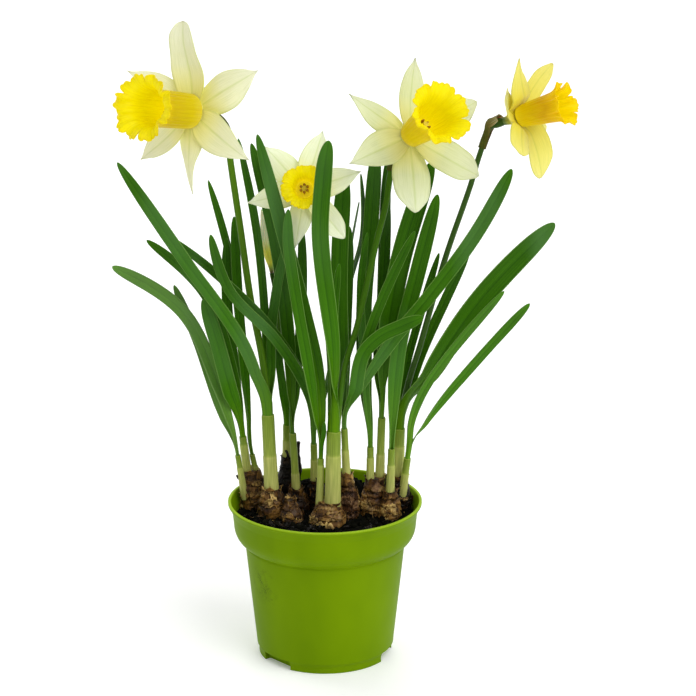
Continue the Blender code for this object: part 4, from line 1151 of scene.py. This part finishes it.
def valueAlong(values, share):    # a smooth run through values that stand at even steps
    place = min(max(share, 0), 0.9999) * (len(values) - 1)
    i = int(place)
    f = place - i
    near = values[i]
    far = values[i + 1]
    slope = (far - values[max(i - 1, 0)]) / 2
    slopeOut = (values[min(i + 2, len(values) - 1)] - near) / 2
    bend = 3 * (far - near) - 2 * slope - slopeOut
    return near + f * (slope + f * (bend + f * (2 * (near - far) + slope + slopeOut)))


def layPetal(shape, flower, values, layer):
    middle, ahead, across, upward = flowerAxes(flower)
    angle = radians(values["angle"])
    lean = radians(values["lean"])
    length = values["length"]
    out = ring(across, upward, angle)
    level = upward * cos(angle) - across * sin(angle)
    back = middle - ahead * (1.2 + 2.0 * layer)
    start = flower["cup"][1] * 0.35
    seed = angle * 3 + length
    outline = petalOutlines[values["outline"]]

    def place(u, t):
        share = 1 - (1 - t) ** 1.15
        run = start + (length - start) * share
        half = values["width"] / 2 * valueAlong(outline, share) * sqrt(max(1 - share ** 14, 0.001))
        half *= 1 + 0.06 * rough((share * 4, u, 0), 1, seed)
        rise = run * sin(lean) * share + 1.0 * sin(3.5 * share + angle) * share - values["curl"] * share ** 3
        rise += values["advance"] * smoothStep(share / 0.28)
        rise -= 0.8 * abs(rough((share * 9, u * 3, 0), 1, seed + 21)) * share ** 2
        hollow = (abs(u) ** 1.6 - 0.4) * half * 0.20 * (-1 if layer else 1)
        keel = -0.5 * max(0, 1 - abs(u) / 0.16) * (1 - 0.7 * share)
        wave = 0.9 * rough((share * 3.2, u * 1.1, 0), 1, seed + 4) * share * (0.3 + abs(u)) * half / 8
        turn = radians(values["twist"]) * share + 0.24 * rough((share * 1.5, 0, 0), 1, seed + 9) * share
        side = ring(level, ahead, turn)
        bend = level * (values["sway"] * share ** 2.5 + values["bow"] * sin(pi * share ** 2))
        spot = back + out * run * (cos(lean) * share + 1 - share) + side * u * half + bend
        return spot + ahead * (rise + hollow + keel + wave)

    def shade(u, t):
        return 0.25 + 0.75 * t

    layGrid(shape, *flowerLook["petalGrid"], place, shade)


def makePetals(name, flower):
    middle, ahead, across = flowerAxes(flower)[:3]
    base = flower["cup"][1]
    shape = newShape()
    for number, values in enumerate(flower["petals"]):
        layPetal(shape, flower, values, number % 2)

    def radiusAt(u, t):
        low = flowerLook["ovaryRadius"] * (0.8 + 0.2 * smoothStep(t / 0.4))
        return low + (base * 0.86 - low) * smoothStep((t - 0.35) / 0.6) + 0.12 * cos(6 * pi * u)

    def tubeLine(share):
        return middle - ahead * flowerLook["tube"] * (1 - share) - ahead * 0.9

    layTube(shape, tubeLine, radiusAt, across, *flowerLook["tubeGrid"], lambda u, t: 0.25 * t)
    finishPiece(shape, "whorl_" + name, ["petals_" + name], [paintPetal(name)],
                flowerLook["petalThickness"], crease=80)


def paintCup(kind):
    paint = startPaint(kind + "Cup", 0.5, 0.12, Subsurface_Weight=0.55, Subsurface_Scale=0.008,
                       Subsurface_Radius=(1.0, 0.8, 0.02))
    along = addAxis(paint, "UV", "Y")
    # a faint glow stands for the daylight that comes through the thin wall
    if kind in ("inside", "yellowInside"):
        shader = paint.node_tree.nodes["Principled BSDF"]
        plug(paint, addRamp(paint, along, throatLight), shader.inputs["Emission Color"])
        shader.inputs["Emission Strength"].default_value = flowerLook["glow"]
    colour = addRamp(paint, along, cupColours[kind])
    return endVeined(paint, colour, 0.7, addGrain(paint, 60, 1.2, 2, 3), flowerLook["cupRibs"], 0.3)


def cupWall(flower):    # run and radius of the cup's wall at even steps, from its base to its rim
    length, base, rim = flower["cup"]
    begin, opened = flower["flare"]
    spots = [Vector((0, 0))]
    for step in range(flowerLook["cupSteps"]):
        share = (step + 0.5) / flowerLook["cupSteps"]
        turn = radians(flower["cone"] + opened * smoothStep((share - begin) / (1 - begin)) ** 0.8)
        spots.append(spots[-1] + Vector((cos(turn), sin(turn))))
    end = spots[-1]
    return [(spot.x / end.x * length, base + spot.y / end.y * (rim - base)) for spot in spots]


def makeCup(name, flower):
    middle, ahead, across, upward = flowerAxes(flower)
    length, base, rim = flower["cup"]
    runs, radii = zip(*cupWall(flower))
    ruffle = flower["ruffle"]
    seed = length + rim * 0.3

    def place(u, t):
        angle = pi * u
        turn = Vector((cos(angle), sin(angle), 0))
        drift = flower["turned"] + 0.5 * rough(turn * 0.9, 1, seed)
        lobe = abs(sin(3 * angle + drift))
        depth = flower["notch"] * (0.75 + 0.6 * rough(turn * 1.7, 1, seed + 6))
        teeth = (1 - abs(sin(15 * angle + 5 * drift))) ** 1.5 * max(1 + 1.6 * rough(turn * 4, 1, seed + 4), 0)
        reach = 1 - depth * (1 - lobe) ** 3 - 0.030 * teeth + 0.09 * (rough(turn * 2.6, 1, seed + 8) - 0.3)
        share = t * reach
        run = valueAlong(runs, share)
        radius = valueAlong(radii, share)
        slope = Vector((run - valueAlong(runs, share - 0.03), radius - valueAlong(radii, share - 0.03)))
        slope = slope.normalized() if share > 0.03 else Vector((1, 0))
        edge = smoothStep((share - 0.5) / 0.5)
        frill = 0.035 * sin(15 * angle + 5 * drift) * (1 + 1.4 * rough(turn * 2.2, 1, seed + 5))
        fold = ruffle * edge ** 1.5 * rim * (0.15 * (lobe - 0.65) + frill)
        crumple = 0.10 * rough(turn * 2.2, 1, seed + 2) + 0.05 * rough(turn * 6, 1, seed)
        fold += ruffle * edge * rim * crumple
        fold += 0.014 * base * cos(24 * angle) * sin(pi * min(t * 1.1, 1))
        run += 0.3 - slope.y * fold
        radius = (radius + slope.x * fold) * (1 + 0.03 * rough(turn * 0.9 + up * t, 1, seed + 3))
        return middle + ahead * run + ring(across, upward, angle) * radius

    shape = newShape()
    layGrid(shape, flowerLook["cupSides"], flowerLook["cupRows"], place, closed=True)
    floor = [edge for edge in shape.edges if edge.is_boundary]
    floor.sort(key=lambda edge: (edge.verts[0].co - middle * mm).length)
    bmesh.ops.contextual_create(shape, geom=floor[:flowerLook["cupSides"]])
    kinds = ("yellow", "yellowInside") if name == "yellow" else ("cream", "inside")
    paints = [cupPaints[kind] for kind in kinds]
    piece = finishPiece(shape, "trumpet_" + name, ["corona_" + name], paints,
                        flowerLook["cupThickness"], -1, crease=80)
    # the mesh is the outer side of the wall, and its thickness adds the inner one
    wall = piece.data.polygons[flowerLook["cupSides"] * 4]
    spot = wall.center - middle * mm
    if wall.normal.dot(spot - ahead * spot.dot(ahead)) < 0:
        piece.data.flip_normals()
    piece.modifiers["thickness"].material_offset = 1


def makeStamens(name, flower):
    middle, ahead, across, upward = flowerAxes(flower)
    length, base = flower["cup"][:2]

    def antherRadius(u, t):
        return 0.15 + 0.75 * sin(pi * (0.04 + 0.92 * t)) ** 0.6

    def styleRadius(u, t):
        return 0.7 + 0.9 * smoothStep((t - 0.86) / 0.1) * (1 + 0.25 * cos(3 * pi * u))

    shape = newShape()
    for number in range(flowerLook["stamens"]):
        out = ring(across, upward, 2 * pi * (number + 0.5) / flowerLook["stamens"])
        start = middle + out * base * 0.45 + ahead * 0.8
        tip = middle + out * base * 0.36 + ahead * length * (0.34 + 0.05 * chance.random())
        path = smoothPath([start, (start + tip) / 2 + out * 0.4, tip])
        layTube(shape, path, lambda u, t: 0.42 - 0.14 * t, out, 8, 8, 0.1)
        anther = smoothPath([tip - ahead * 1.5, tip + ahead * 1.2 + out * 0.2, tip + ahead * 3.6 + out * 0.5])
        layTube(shape, anther, antherRadius, out, 10, 10, 1.0)
    style = smoothPath([middle + ahead * 0.6, middle + ahead * length * 0.35, middle + ahead * length * 0.50])
    layTube(shape, style, styleRadius, across, 18, 22, 0.3)
    finishPiece(shape, "stamens_" + name, [], [stamenPaint])


def paintStamens():
    paint = startPaint("pollen", 0.75)
    grain = addNoise(paint, 2500, 2)
    colour = addRamp(paint, addTint(paint), flowerLook["pollen"])
    colour = addShade(paint, colour, 0.7, grain, [(0.4, (0.75, 0.7, 0.6)), (0.6, (1.1, 1.1, 1.0))])
    return endPaint(paint, colour, grain, 0.4, 0.2)


def paintSpathe():
    paint = startPaint("drySpathe", 0.6, 0.08, Subsurface_Weight=0.1, Subsurface_Scale=0.002)
    fibres = addGrain(paint, 16, 0.9, 3, 4, 0.65)
    paleness = addMath(paint, "MULTIPLY_ADD", fibres, 0.8, addTint(paint))
    return endPaint(paint, addRamp(paint, paleness, flowerLook["spathe"]), fibres, 0.5, 0.4)


def makeSpathe(name):
    path = smoothPath(stemPoints(name))
    low, high = flowerLook["spatheReach"]
    radius = stems[name]["radii"][1]
    ahead = flowerAxes(flowers[name])[1]
    outer = up - ahead
    seed = radius * 9 + ahead.x * 5
    thick = flowerLook["ovaryRadius"]

    def place(u, t):
        run = (low + high) * t - low
        share = 1 + min(run, 0) / path.length
        tangent = heading(path, share).lerp(ahead, smoothStep((run + 4) / 4)).normalized()
        across = tangent.cross(outer).normalized()
        back = across.cross(tangent)
        angle = u * radians(165 - 90 * t ** 1.5) + 0.15 * rough((t * 3, 0, 0), 1, seed)
        wide = radius + 0.5 + (thick - radius + 0.3) * smoothStep((run + 6) / 5)
        wide += (0.25 + 0.5 * t) * abs(rough((u * 2.2, t * 3, 0), 1, seed))
        wide += 1.1 * max(t - 0.72, 0) * 3 + 0.5 * abs(u) ** 3 * t
        ragged = tangent * 1.4 * rough((u * 2.5, 0, 0), 1, seed + 2) * t ** 2
        spot = path(share) + ahead * max(run, 0) + ragged
        return spot + ring(back, across, angle) * wide

    def shade(u, t):
        return 0.02 + 0.42 * t ** 2 + 0.12 * abs(u) ** 4

    shape = newShape()
    layGrid(shape, *flowerLook["spatheGrid"], place, shade)
    finishPiece(shape, "driedBract_" + name, ["spathe_" + name], [spathePaint], 0.2, 1, crease=80)


# bud on the fifth stem

bud = {
    "towards": (-6.0, -2.0, 40.5), "length": 41.0, "radius": 3.1, "folds": 3, "turns": 0.35,
    "sides": 60, "rows": 50, "brown": (0.16, 0.12, 0.02), "green": (0.34, 0.44, 0.04),
    "yellow": (0.88, 0.80, 0.08), "pale": (0.92, 0.93, 0.70),
    "veins": [(0.34, (0.8, 0.84, 0.6)), (0.62, (1.05, 1.03, 1.0))],
}


def paintBud():
    paint = startPaint("closedBud", 0.5, Subsurface_Weight=0.2, Subsurface_Scale=0.003)
    colour = addRamp(paint, addAxis(paint, "UV", "Y"), [
        (0.03, bud["brown"]), (0.09, bud["green"]), (0.17, bud["yellow"]), (0.36, bud["yellow"]),
        (0.60, bud["pale"])])
    return endVeined(paint, colour, 0.8, addGrain(paint, 20, 1.2, 3, 3), bud["veins"], 0.35)


def makeBud():
    foot = Vector(stems["bud"]["route"][-1])
    along = Vector(bud["towards"]).normalized()

    def line(share):
        return foot + along * (0.3 + bud["length"] * share)

    def radiusAt(u, t):
        body = 0.42 + 0.58 * smoothStep(t / 0.3)
        body *= max(1 - max(t - 0.45, 0) ** 1.9 * 2.7, 0.1)
        fold = (0.5 * (u + 1) * bud["folds"] + bud["turns"] * t * bud["folds"]) % 1
        return bud["radius"] * body * (0.90 + 0.13 * fold ** 2 - 0.06 * cos(2 * pi * fold))

    shape = newShape()
    layTube(shape, line, radiusAt, Vector((1, 0, 0)), bud["sides"], bud["rows"])
    finishPiece(shape, "closedFlower", ["bud"], [paintBud()], crease=180)


cupPaints = {kind: paintCup(kind) for kind in cupColours}
stamenPaint = paintStamens()
spathePaint = paintSpathe()
for name in stems:
    makeStem(name)
for name, flower in flowers.items():
    makePetals(name, flower)
    makeCup(name, flower)
    makeStamens(name, flower)
    makeSpathe(name)
makeBud()
print("stems, flowers and bud done")


# camera, floor and light, in metres

view = {
    "place": (0.01424, -1.590, 0.6758), "tilt": 16.765, "lens": 141.13, "sensor": 36.0,
    "floorSize": 14.0, "floorColour": (0.96, 0.96, 0.96), "floorGlow": 0.12, "sky": 0.56,
}
lamps = [
    # name, place, what it lights, size, watts
    ("keyLamp", (1.2, -1.1, 1.8), (0, 0, 0.2), 2.2, 35),
    ("fillLamp", (-1.6, -0.9, 1.0), (0, 0, 0.2), 1.6, 1.5),
    ("edgeLamp", (-1.3, 1.1, 1.2), (0, 0, 0.25), 1.2, 9),
    ("floorLamp", (0.0, 3.2, 2.6), (0, 3.0, 0), 2.6, 60),
]


def makeCamera():
    data = bpy.data.cameras.new("photoCamera")
    data.sensor_width = view["sensor"]
    data.lens = view["lens"]
    data.clip_end = 20
    camera = addObject("photoCamera", data)
    camera.location = view["place"]
    camera.rotation_euler = (radians(90 - view["tilt"]), 0, 0)
    bpy.context.scene.camera = camera


def makeFloor():
    shape = bmesh.new()
    bmesh.ops.create_grid(shape, x_segments=1, y_segments=1, size=view["floorSize"] / 2)
    floor = addObject("paleFloor", endShape(shape, "paleFloor"))
    floor.data.materials.append(startPaint("paleFloor", 0.9, 0.1, Base_Color=view["floorColour"],
                                           Emission_Color=(1, 1, 1), Emission_Strength=view["floorGlow"]))


def makeLights():
    for name, place, target, size, watts in lamps:
        data = bpy.data.lights.new(name, "AREA")
        data.shape = "DISK"
        data.size = size
        data.energy = watts
        lamp = addObject(name, data)
        lamp.location = place
        lamp.rotation_euler = (Vector(target) - Vector(place)).to_track_quat("-Z", "Y").to_euler()
    world = bpy.data.worlds.new("softRoom")
    world.use_nodes = True
    background = world.node_tree.nodes["Background"]
    background.inputs["Color"].default_value = (1, 1, 1, 1)
    background.inputs["Strength"].default_value = view["sky"]
    bpy.context.scene.world = world
    bpy.context.scene.view_settings.view_transform = "Standard"


makeCamera()
makeFloor()
makeLights()
print("camera and light done")
